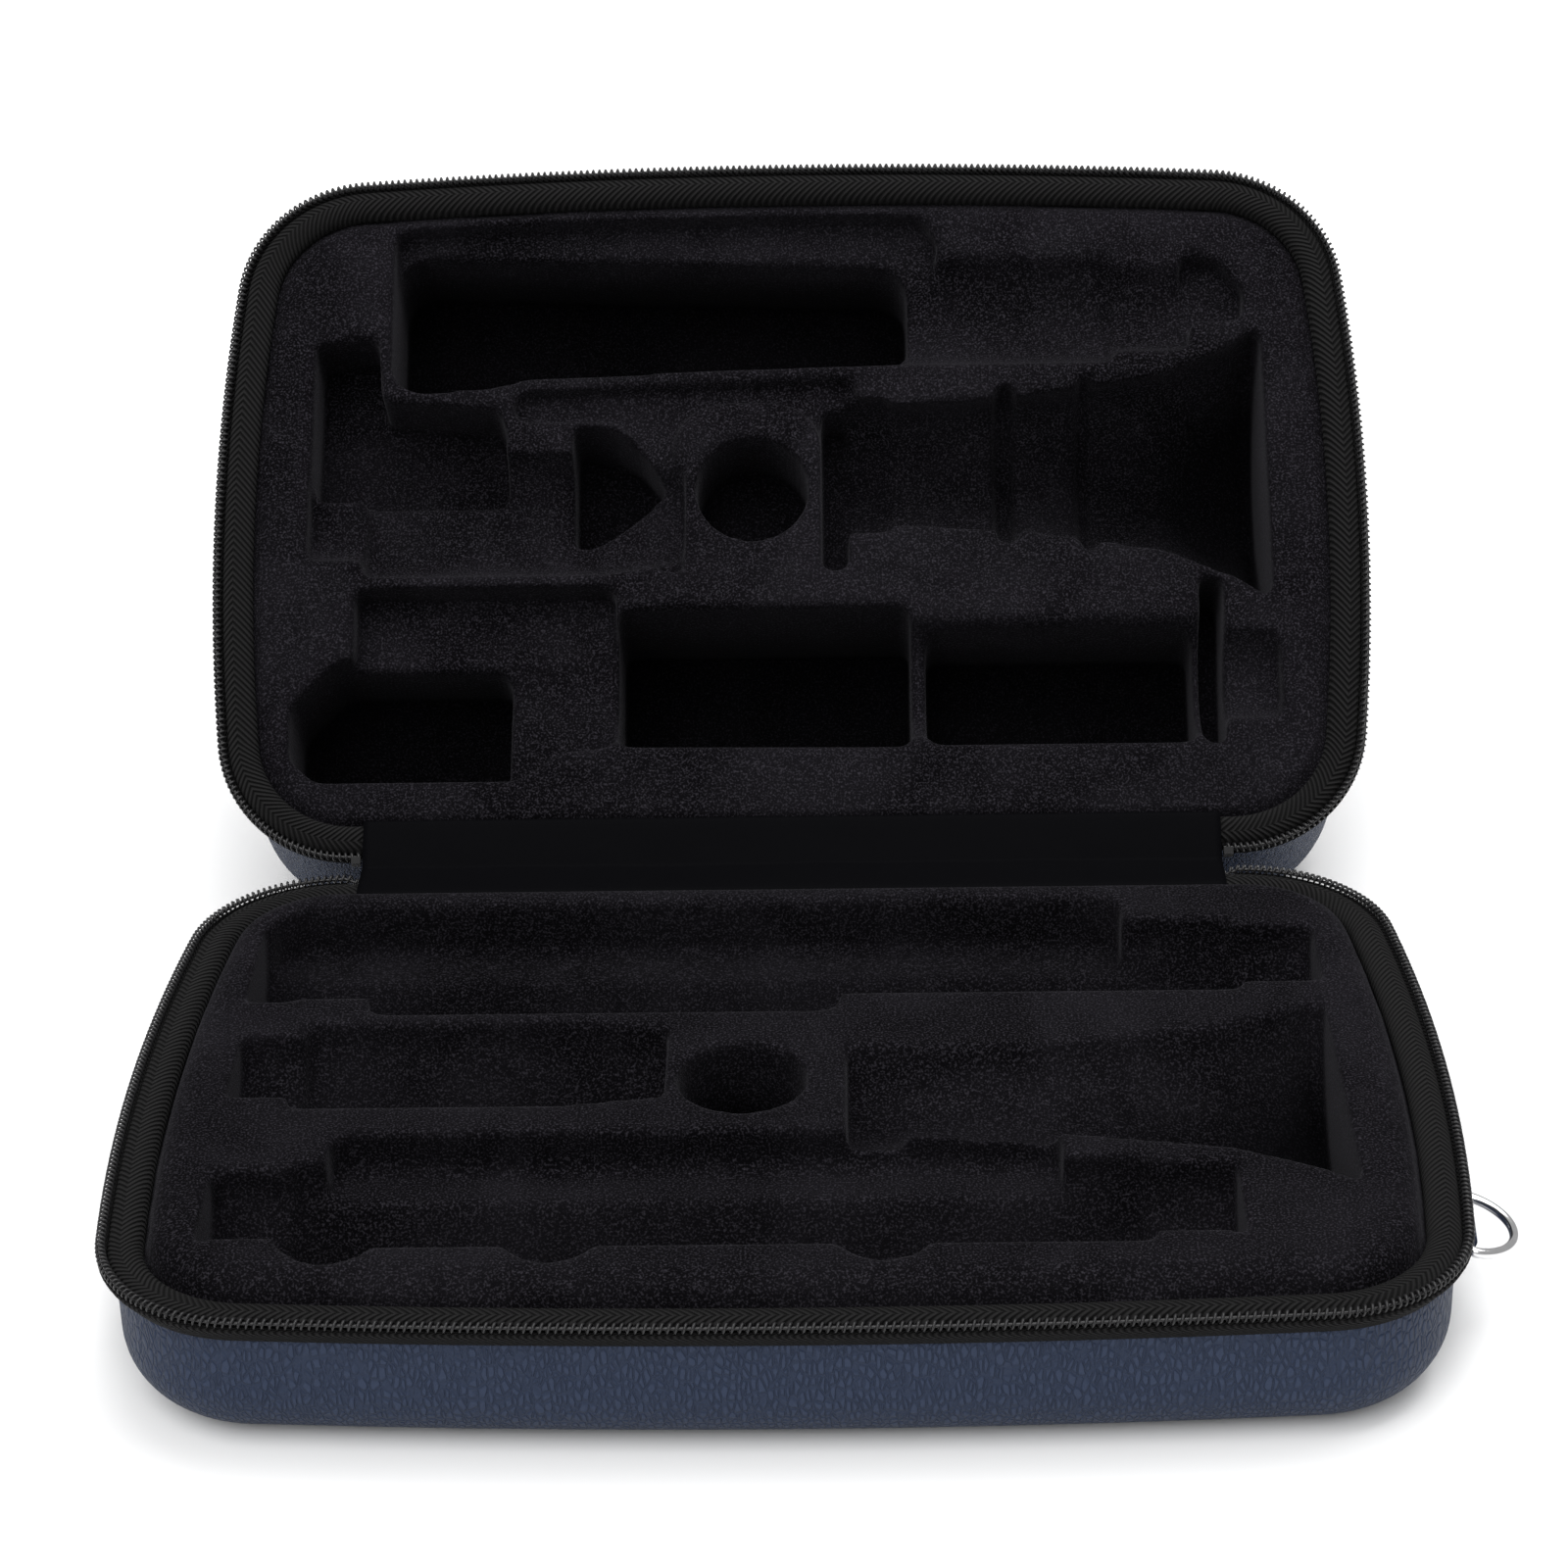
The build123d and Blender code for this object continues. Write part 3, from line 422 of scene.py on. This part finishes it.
# Zipper tapes: woven twill tape glued between leatherette and board, flared out to carry the
# chain. Behind each end of the hinge cover the tape turns down under the chain.
tape_twill = twill("tape_twill", pitch=1.6, middle=6.2, tone=0.0075, lift=1)
tape = (
    (4, 7.6), (3.2, 7.3), (1.9, 5.6), (0.75, 4.2), (0.35, 3.35),
    (0.5, 2.9), (1.6, 3.0), (2.3, 3.3), (3.2, 4.9), (4, 6),
)
turned_down = ((4, 7.4), (3, 7), (1.95, 5.45), (3.59, 5.3), (4, 6))
cover_end_x = 0.095
for body in ("base", "lid"):
    tape_ends = round_the_rim("turned_ends", turned_down, cover_end_x, spun=False)
    tape_piece = round_the_rim(body + "_tape", tape, back_corner.x)
    tape_ends.select_set(True)
    bpy.ops.object.join()
    measure_along(tape_piece, depth_too=True)
    finish_strip(tape_piece, tape_twill, body)
    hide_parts(body + "_zipper_tape")

# Zipper chain: two nylon coils, each a continuous monofilament wound round a cord and sewn along
# the tape's edge. The base's coil dips at its ends, where it runs down into the sliders.
nylon = bpy.data.materials.new("black_coil")
nylon.use_nodes = True
tree = nylon.node_tree
filament = tree.nodes["Principled BSDF"]
filament.inputs["Roughness"].default_value = 0.3
filament.inputs["Specular IOR Level"].default_value = 0.3
place = tree.nodes.new("ShaderNodeTexCoord")
drawn = tree.nodes.new("ShaderNodeTexNoise")
drawn.inputs["Scale"].default_value = 420
drawn.inputs["Detail"].default_value = 3
tree.links.new(place.outputs["Object"], drawn.inputs["Vector"])
tone = tree.nodes.new("ShaderNodeMix")
tone.data_type = "RGBA"
tone.inputs["A"].default_value = (0.005, 0.0049, 0.0053, 1)
tone.inputs["B"].default_value = (0.023, 0.0226, 0.0236, 1)
tree.links.new(drawn.outputs["Fac"], tone.inputs["Factor"])
tree.links.new(tone.outputs["Result"], filament.inputs["Base Color"])
scuff = tree.nodes.new("ShaderNodeBump")
scuff.inputs["Strength"].default_value = 0.15
scuff.inputs["Distance"].default_value = 0.0001
tree.links.new(drawn.outputs["Fac"], scuff.inputs["Height"])
tree.links.new(scuff.outputs["Normal"], filament.inputs["Normal"])

coil_pitch = 1.67 * mm
coil_inset = 1.35 * mm
coil_radius = 1.02 * mm
coil_depth = 1.5 * mm
filament_radius = 0.28 * mm
turn_points = 8
cord_points = 240
slider_x = 0.10944
dip_length = 3.9 * mm
dip_depth = 1.9 * mm


def rim_point(travel, inset):
    """The point of the rim at a distance from the middle of the front, and the way out of it."""
    side = -1 if travel < 0 else 1
    rest = half_rim - abs(travel)
    if rest < 0:
        return Vector((side * (back_corner.x + rest), back_reach - inset)), Vector((0, 1))
    for centre, radius, start, end, steps in rim_arcs:
        if rest <= radius * (start - end) or centre is long_centre:
            out = Vector((cos(start - rest / radius), sin(start - rest / radius)))
            spot = centre + out * (radius - inset)
            return Vector((side * spot.x, spot.y)), Vector((side * out.x, out.y))
        rest -= radius * (start - end)


def chain_depth(travel, dips):
    """Depth of the chain's middle below the seam, easing down towards a slider."""
    run = half_rim + back_corner.x - slider_x - abs(travel)
    ease = min(1, max(0, 1 - run / dip_length)) if dips else 0
    return coil_depth + dip_depth * ease * ease * (3 - 2 * ease)


def wound_coil(name, end_x, dips, body):
    """One coil round its cord. The filament is thicker at the heads, where the two coils mesh."""
    reach = half_rim + back_corner.x - end_x
    wire_steps = int(2 * reach / coil_pitch) * turn_points
    curve = bpy.data.curves.new(name, "CURVE")
    curve.dimensions = "3D"
    curve.bevel_depth = filament_radius
    curve.bevel_resolution = 1
    wire = curve.splines.new("POLY")
    wire.points.add(wire_steps)
    for step, point in enumerate(wire.points):
        travel = -reach + 2 * reach * step / wire_steps
        wound = 2 * pi * step / turn_points
        across, up = cos(wound), sin(wound)
        spot, out = rim_point(travel, coil_inset)
        spot = spot + out * across * coil_radius
        depth = chain_depth(travel, dips) - up * coil_radius
        point.co = (spot.x, spot.y, seam - depth, 1)
        point.radius = 1.35 if up > 0.5 else 0.95
    cord = curve.splines.new("POLY")
    cord.points.add(cord_points)
    for step, point in enumerate(cord.points):
        travel = -reach + 2 * reach * step / cord_points
        spot, out = rim_point(travel, coil_inset)
        point.co = (spot.x, spot.y, seam - chain_depth(travel, dips), 1)
        point.radius = 1.5
    coil = bpy.data.objects.new(name, curve)
    bpy.context.scene.collection.objects.link(coil)
    bpy.context.view_layer.objects.active = coil
    coil.select_set(True)
    bpy.ops.object.convert(target="MESH")
    finish_strip(coil, nylon, body)
    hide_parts(body + "_zipper_coil")


wound_coil("base_coil", end_x=0.0955, dips=True, body="base")
wound_coil("lid_coil", end_x=0.1106, dips=False, body="lid")

# Metal fittings: two die-cast zinc sliders, nickel plated, each with a bail and a flat pull. The
# stops are crimped on the chain's ends and lacquered black.
nickel = bpy.data.materials.new("nickel")
nickel.use_nodes = True
tree = nickel.node_tree
plate = tree.nodes["Principled BSDF"]
plate.inputs["Metallic"].default_value = 1
place = tree.nodes.new("ShaderNodeTexCoord")
smear = tree.nodes.new("ShaderNodeTexNoise")
smear.inputs["Scale"].default_value = 260
smear.inputs["Detail"].default_value = 4
tree.links.new(place.outputs["Object"], smear.inputs["Vector"])
polish = tree.nodes.new("ShaderNodeMapRange")
polish.inputs["To Min"].default_value = 0.1
polish.inputs["To Max"].default_value = 0.26
tree.links.new(smear.outputs["Fac"], polish.inputs["Value"])
tree.links.new(polish.outputs["Result"], plate.inputs["Roughness"])
tint = tree.nodes.new("ShaderNodeMix")
tint.data_type = "RGBA"
tint.inputs["A"].default_value = (0.6, 0.6, 0.61, 1)
tint.inputs["B"].default_value = (0.78, 0.78, 0.79, 1)
tree.links.new(smear.outputs["Fac"], tint.inputs["Factor"])
tree.links.new(tint.outputs["Result"], plate.inputs["Base Color"])


def eased(name, node, body, material, width, angle=30):
    """A piece from its solid, with its sharp edges rounded off."""
    piece = from_solid(name, node, weld=0.000002)
    bpy.ops.object.mode_set(mode="EDIT")
    bpy.ops.mesh.select_all(action="SELECT")
    bpy.ops.mesh.dissolve_limited(angle_limit=radians(1.5))
    bpy.ops.object.mode_set(mode="OBJECT")
    edge = piece.modifiers.new("ease", "BEVEL")
    edge.width = width
    edge.segments = 2
    edge.limit_method = "ANGLE"
    edge.angle_limit = radians(angle)
    bpy.ops.object.modifier_apply(modifier=edge.name)
    bpy.ops.object.shade_smooth_by_angle(angle=radians(40))
    piece.data.materials.clear()
    piece.data.materials.append(material)
    piece.select_set(False)
    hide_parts(node)
    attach(piece, body)


cast_edge = 0.25 * mm
for side in ("left", "right"):
    pull = "pull_" + side
    eased("slider_" + side, "zipper_slider_" + side, "base", nickel, cast_edge, 50)
    eased("pull_tag_" + side, "zipper_pull_" + side, pull, nickel, cast_edge, 50)
lacquer = bpy.data.materials.new("black_lacquer")
lacquer.use_nodes = True
tree = lacquer.node_tree
enamel = tree.nodes["Principled BSDF"]
enamel.inputs["Specular IOR Level"].default_value = 0.1
enamel.inputs["Roughness"].default_value = 0.4
place = tree.nodes.new("ShaderNodeTexCoord")
blotch = tree.nodes.new("ShaderNodeTexNoise")
blotch.inputs["Scale"].default_value = 260
blotch.inputs["Detail"].default_value = 4
tree.links.new(place.outputs["Object"], blotch.inputs["Vector"])
shade = tree.nodes.new("ShaderNodeMix")
shade.data_type = "RGBA"
shade.inputs["A"].default_value = (0.004, 0.004, 0.0045, 1)
shade.inputs["B"].default_value = (0.009, 0.009, 0.0095, 1)
tree.links.new(blotch.outputs["Fac"], shade.inputs["Factor"])
tree.links.new(shade.outputs["Result"], enamel.inputs["Base Color"])
for name in ("base_zipper_stops", "lid_zipper_stops"):
    nodes[name].data.materials.clear()
    nodes[name].data.materials.append(lacquer)

# Inner hinge: a strip of plain black cloth tucked down between each binding and tray, which
# covers the joint between the halves and bends over the hinge line.
cloth = bpy.data.materials.new("black_cloth")
cloth.use_nodes = True
tree = cloth.node_tree
yarn = tree.nodes["Principled BSDF"]
yarn.inputs["Roughness"].default_value = 0.7
yarn.inputs["Specular IOR Level"].default_value = 0.02
place = tree.nodes.new("ShaderNodeUVMap")
place.uv_map = "cut"
checks = tree.nodes.new("ShaderNodeTexBrick")
checks.inputs["Scale"].default_value = 1400
checks.inputs["Mortar Size"].default_value = 0.06
checks.inputs["Color1"].default_value = (0.0018, 0.0018, 0.0025, 1)
checks.inputs["Color2"].default_value = (0.0026, 0.0026, 0.0034, 1)
checks.inputs["Mortar"].default_value = (0.001, 0.001, 0.0013, 1)
tree.links.new(place.outputs["UV"], checks.inputs["Vector"])
tree.links.new(checks.outputs["Color"], yarn.inputs["Base Color"])
rumple = tree.nodes.new("ShaderNodeTexNoise")
rumple.inputs["Scale"].default_value = 60
rumple.inputs["Detail"].default_value = 4
tree.links.new(place.outputs["UV"], rumple.inputs["Vector"])
slub = tree.nodes.new("ShaderNodeBump")
slub.inputs["Strength"].default_value = 0.35
slub.inputs["Distance"].default_value = 0.0006
tree.links.new(rumple.outputs["Fac"], slub.inputs["Height"])
tree.links.new(slub.outputs["Normal"], yarn.inputs["Normal"])


def bent_strip(name, section, half_width, thickness, rumpled, columns, rows=56):
    """Cloth laid up the base along (inset, depth) points in mm, round the hinge and up the lid."""
    leaf = [Vector((back_reach - inset * mm, seam - depth * mm)) for inset, depth in section]
    reach = seam - leaf[-1].y
    bend_steps = 6
    bend = []
    for step in range(1, bend_steps):
        turn = (pi - lid_open) * step / bend_steps
        bend.append(Vector((hinge_line.y + reach * sin(turn), seam - reach * cos(turn))))
    upper = []
    for point in reversed(leaf):
        turned = to_rest @ Vector((0, point.x, 2 * seam - point.y))
        upper.append(Vector((turned.y, turned.z)))
    line = leaf + bend + upper
    lengths = [0]
    for first, second in zip(line, line[1:]):
        lengths.append(lengths[-1] + (second - first).length)
    bpy.ops.mesh.primitive_grid_add(x_subdivisions=columns, y_subdivisions=rows, size=1)
    strip = bpy.context.object
    strip.name = name
    cut = strip.data.uv_layers[0]
    cut.name = "cut"
    for loop in strip.data.loops:
        flat = strip.data.vertices[loop.vertex_index].co
        cut.data[loop.index].uv = (flat.x * 2 * half_width, flat.y * lengths[-1])
    for vertex in strip.data.vertices:
        along_cloth = (vertex.co.y + 0.5) * lengths[-1]
        part = max(k for k in range(len(lengths) - 1) if lengths[k] <= along_cloth + 1e-9)
        share = (along_cloth - lengths[part]) / (lengths[part + 1] - lengths[part])
        spot = line[part].lerp(line[part + 1], min(share, 1))
        ahead = (line[part + 1] - line[part]).normalized()
        x, y = vertex.co.x * 2 * half_width, vertex.co.y
        wave = 0.5 * sin(x * 95 + 1.3) + 0.3 * sin(x * 233 + y * 9) + 0.5 * sin(x * 41 - y * 5)
        lift = rumpled * sin(pi * (y + 0.5)) ** 2 * wave
        vertex.co = (x, spot.x - ahead.y * lift, spot.y + ahead.x * lift)
    wall = strip.modifiers.new("thickness", "SOLIDIFY")
    wall.thickness = thickness
    wall.offset = 0
    bpy.ops.object.modifier_apply(modifier=wall.name)
    for face in strip.data.polygons:
        face.use_smooth = True
    strip.select_set(False)
    return strip, lengths[-1]


inner = (
    (10.85, 5.4), (10.85, 1.9), (10.65, 1.0), (10.1, 0.6), (8, 0.5),
    (4, 0.5), (0, 0.5), (-1, 0.5), (-2, 0.5),
)
strip, cut_length = bent_strip("hinge_cloth", inner, 0.11, 0.6 * mm, rumpled=0.28 * mm, columns=120)
strip.data.materials.append(cloth)
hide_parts("hinge_strip")
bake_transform(strip)

# Outer hinge: a band of the same leatherette lapped and glued on both back walls, flared out to
# the hinge line so that it folds like the spine of a book.
outer = (
    (3.45, 18), (3.45, 12), (3.45, 7.6), (3.1, 6.2), (1.5, 4.3), (0, 2.7), (-1.1, 1.75), (-2, 1.5),
)
cover, cover_length = bent_strip(
    "hinge_spine", outer, 0.0945, 0.9 * mm, rumpled=0.12 * mm, columns=90
)
cover.data.materials.append(leatherette)
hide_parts("hinge_cover")
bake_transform(cover)

# Strap rings: bent nickel-plated wire, one at each end of the base, each held by a folded tab of
# leatherette with two domed rivets through it.
wall_inset = 4 * mm
wall_radius = side_radius - wall_inset
ring_y = -0.043
ring_drop = 14 * mm
bar_stands_off = 3.1 * mm
fold_edge = 0.35 * mm
ring_out = Vector((sqrt(1 - (ring_y / wall_radius) ** 2), ring_y / wall_radius, 0))
ring_along = Vector((-ring_out.y, ring_out.x, 0))
ring_wall = Vector((side_centre.x, side_centre.y, seam - ring_drop)) + ring_out * wall_radius
ring_pivot = ring_wall + ring_out * bar_stands_off


def bent_wire(name, points, wire):
    """Round wire bent to a closed outline and welded."""
    curve = bpy.data.curves.new(name, "CURVE")
    curve.dimensions = "3D"
    curve.bevel_depth = wire
    curve.bevel_resolution = 4
    run = curve.splines.new("POLY")
    run.points.add(len(points) - 1)
    run.use_cyclic_u = True
    for point, spot in zip(run.points, points):
        point.co = (*spot, 1)
    bent = bpy.data.objects.new(name, curve)
    bpy.context.scene.collection.objects.link(bent)
    bpy.context.view_layer.objects.active = bent
    bent.select_set(True)
    bpy.ops.object.convert(target="MESH")
    for face in bent.data.polygons:
        face.use_smooth = True
    bent.data.materials.append(nickel)
    bent.select_set(False)
    return bent


def ring_outline(droop):
    """Points of the right-hand D: a straight bar, two tight corners and a half-round front."""
    reach_way = ring_out * cos(droop) - Vector((0, 0, sin(droop)))
    bow_radius, corner, reach = 11.2, 2.5, 11.8
    corner_steps, half_bow_steps = 7, 16
    centre = reach - bow_radius
    bar_end = sqrt((bow_radius - corner) ** 2 - (corner - centre) ** 2)
    turn_out = atan2(bar_end, corner - centre)
    upper = []
    for step in range(corner_steps + 1):
        turn = (pi - turn_out) * step / corner_steps
        upper.append((corner - corner * cos(turn), bar_end + corner * sin(turn)))
    bow = []
    for step in range(1, 2 * half_bow_steps):
        turn = turn_out * (1 - step / half_bow_steps)
        bow.append((centre + bow_radius * cos(turn), bow_radius * sin(turn)))
    lower = [(out, -along_bar) for out, along_bar in reversed(upper)]
    return [
        ring_pivot + reach_way * out * mm + ring_along * along_bar * mm
        for out, along_bar in upper + bow + lower
    ]


for side, droop in (("right", radians(13)), ("left", radians(90))):
    outline = ring_outline(droop)
    if side == "left":
        outline = [Vector((-spot.x, spot.y, spot.z)) for spot in outline]
    ring = bent_wire("strap_ring_" + side, outline, 1.2 * mm)
    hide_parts("d_ring_" + side)
    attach(ring, "ring_" + side)
    tab = "ring_tab_" + side
    eased("ring_loop_" + side, tab, "base", leatherette, fold_edge)


def rivet_head(foot, out):
    """Domed rivet head, spun from its section: a thin rim and a low dome."""
    bpy.ops.mesh.primitive_circle_add(vertices=6)
    head = bpy.context.object
    profile = ((0.0, 0.93), (0.9, 0.86), (1.6, 0.64), (2.15, 0.36), (2.4, 0.2), (2.4, -0.05))
    bpy.ops.object.mode_set(mode="EDIT")
    mesh = bmesh.from_edit_mesh(head.data)
    mesh.verts.ensure_lookup_table()
    for vertex, (radius, height) in zip(list(mesh.verts), profile):
        vertex.co = (radius * mm, 0, height * mm)
    mesh.edges.remove(mesh.edges.get((mesh.verts[-1], mesh.verts[0])))
    for part in (*mesh.verts, *mesh.edges):
        part.select = True
    bmesh.update_edit_mesh(head.data)
    bpy.ops.mesh.spin(steps=20, angle=2 * pi, center=(0, 0, 0), axis=(0, 0, 1))
    bpy.ops.mesh.select_all(action="SELECT")
    bpy.ops.mesh.remove_doubles(threshold=0.00001)
    bpy.ops.mesh.normals_make_consistent(inside=False)
    bpy.ops.object.mode_set(mode="OBJECT")
    stand = Vector((0, 0, 1)).rotation_difference(out).to_matrix().to_4x4()
    head.data.transform(Matrix.Translation(foot) @ stand)
    for face in head.data.polygons:
        face.use_smooth = True
    head.data.materials.append(nickel)
    return head


def joined(name, parts):
    """Like parts as one piece."""
    bpy.ops.object.select_all(action="DESELECT")
    for part in parts:
        part.select_set(True)
    bpy.context.view_layer.objects.active = parts[0]
    bpy.ops.object.join()
    parts[0].name = name
    parts[0].select_set(False)
    return parts[0]


def rivet_set(name, feet, node, body, turned=False):
    """Rivet heads on their feet; those of the lid are turned open with it."""
    heads = joined(name, [rivet_head(foot, out) for foot, out in feet])
    if turned:
        heads.data.transform(to_rest)
    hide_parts(node)
    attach(heads, body)


tab_thickness = 1.4 * mm
feet = []
for spread in (-4 * mm, 4 * mm):
    foot = ring_wall + ring_along * spread + ring_out * tab_thickness
    foot.z -= 6.4 * mm
    feet.append((foot, ring_out))
    feet.append((Vector((-foot.x, foot.y, foot.z)), Vector((-ring_out.x, ring_out.y, 0))))
rivet_set("ring_rivet_heads", feet, "ring_tab_rivets", "base")

# Carry handle on the lid's front wall: a foam grip covered in leatherette on two wire loops,
# which swing in folded tabs riveted through the wall.
loop_x = 0.062
front_wall_y = long_centre.y - sqrt((long_radius - wall_inset) ** 2 - loop_x**2)
handle_y = front_wall_y - 5.4 * mm
handle_z = seam + 0.024
loop_bend = 2.5 * mm
corner_steps = 6
loop_corners = (
    (7.5 * mm, 2.5 * mm, -pi / 2),
    (7.5 * mm, 10.5 * mm, 0),
    (-7.5 * mm, 10.5 * mm, pi / 2),
    (-7.5 * mm, 2.5 * mm, pi),
)
loops = []
for middle in (-loop_x, loop_x):
    outline = []
    for beside, above, start in loop_corners:
        for step in range(corner_steps + 1):
            turn = start + pi / 2 * step / corner_steps
            x = middle + beside + loop_bend * cos(turn)
            z = handle_z + above + loop_bend * sin(turn)
            outline.append(to_rest @ Vector((x, handle_y, z)))
    loops.append(bent_wire("handle_wire", outline, 1.5 * mm))
loop_pair = joined("handle_wire_loops", loops)
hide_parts("handle_loops")
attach(loop_pair, "handle")
eased("handle_folded_tabs", "handle_tabs", "lid", leatherette, fold_edge)
feet = []
for x in (-65.4, -58.6, 58.6, 65.4):
    foot = Vector((x * mm, front_wall_y - tab_thickness, handle_z - 8.4 * mm))
    feet.append((foot, Vector((0, -1, 0))))
rivet_set("handle_rivet_heads", feet, "handle_rivets", "lid", turned=True)

grip = from_solid("padded_grip", "handle_grip", weld=0.000002)
roll_edges(grip, cell=0.0011, rounds=7)
closed_again = to_rest.inverted()
grip_half = 0.069
belly = 0.16
for vertex in grip.data.vertices:
    spot = closed_again @ vertex.co
    crown = 1 + belly * (1 - min(1, (spot.x / grip_half) ** 2))
    spot.y = handle_y + (spot.y - handle_y) * crown
    vertex.co = to_rest @ spot
grip.data.materials.clear()
grip.data.materials.append(leatherette)
grip.select_set(False)
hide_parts("handle_grip")
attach(grip, "handle")

# Floor, backdrop and light: a plain pale table top in a white room, with one broad soft lamp
# overhead and an even soft light from the front.
table_top = bpy.data.materials.new("table_top")
table_top.use_nodes = True
tree = table_top.node_tree
tree.nodes["Principled BSDF"].inputs["Base Color"].default_value = (0.95, 0.95, 0.95, 1)
tree.nodes["Principled BSDF"].inputs["Roughness"].default_value = 0.9
bpy.ops.mesh.primitive_plane_add(size=40, location=(0, 0, 0))
floor = bpy.context.object
floor.name = "table"
floor.data.materials.append(table_top)

room = bpy.data.worlds.new("studio")
bpy.context.scene.world = room
room.use_nodes = True
tree = room.node_tree
sky = tree.nodes["Background"]
sky.inputs["Color"].default_value = (1, 1, 1, 1)
sky.inputs["Strength"].default_value = 0.45
white = tree.nodes.new("ShaderNodeBackground")
white.inputs["Color"].default_value = (1, 1, 1, 1)
rays = tree.nodes.new("ShaderNodeLightPath")
choice = tree.nodes.new("ShaderNodeMixShader")
tree.links.new(rays.outputs["Is Camera Ray"], choice.inputs["Fac"])
tree.links.new(sky.outputs["Background"], choice.inputs[1])
tree.links.new(white.outputs["Background"], choice.inputs[2])
tree.links.new(choice.outputs["Shader"], tree.nodes["World Output"].inputs["Surface"])

lamps = (
    ("top_lamp", "AREA", (0.3, 0.3, 1.7), 26),
    ("front_sun", "SUN", (-0.5, -1.2, 1.9), 2.2),
)
lit_middle = Vector((0, 0.08, 0.05))
for name, kind, spot, power in lamps:
    lamp_data = bpy.data.lights.new(name, kind)
    lamp_data.energy = power
    if kind == "AREA":
        lamp_data.size = 1.5
    else:
        lamp_data.angle = radians(55)
    lamp = bpy.data.objects.new(name, lamp_data)
    bpy.context.scene.collection.objects.link(lamp)
    lamp.location = spot
    lamp.rotation_euler = (lit_middle - lamp.location).to_track_quat("-Z", "Y").to_euler()

cam_data = bpy.data.cameras.new("camera")
cam_data.lens = 86.25
cam_data.sensor_width = 36
cam = bpy.data.objects.new("camera", cam_data)
bpy.context.scene.collection.objects.link(cam)
stand = Matrix.Translation((0.01838, -0.74331, 0.49512))
yaw = Matrix.Rotation(0.02339, 3, "Z")
pitch = Matrix.Rotation(-0.47509, 3, "X")
roll = Matrix.Rotation(0.02243, 3, "Y")
turn = yaw @ pitch @ roll
axes = Matrix((turn.col[0], turn.col[2], -turn.col[1])).transposed()
cam.matrix_world = stand @ axes.to_4x4()
bpy.context.scene.camera = cam
bpy.context.scene.view_settings.view_transform = "Standard"
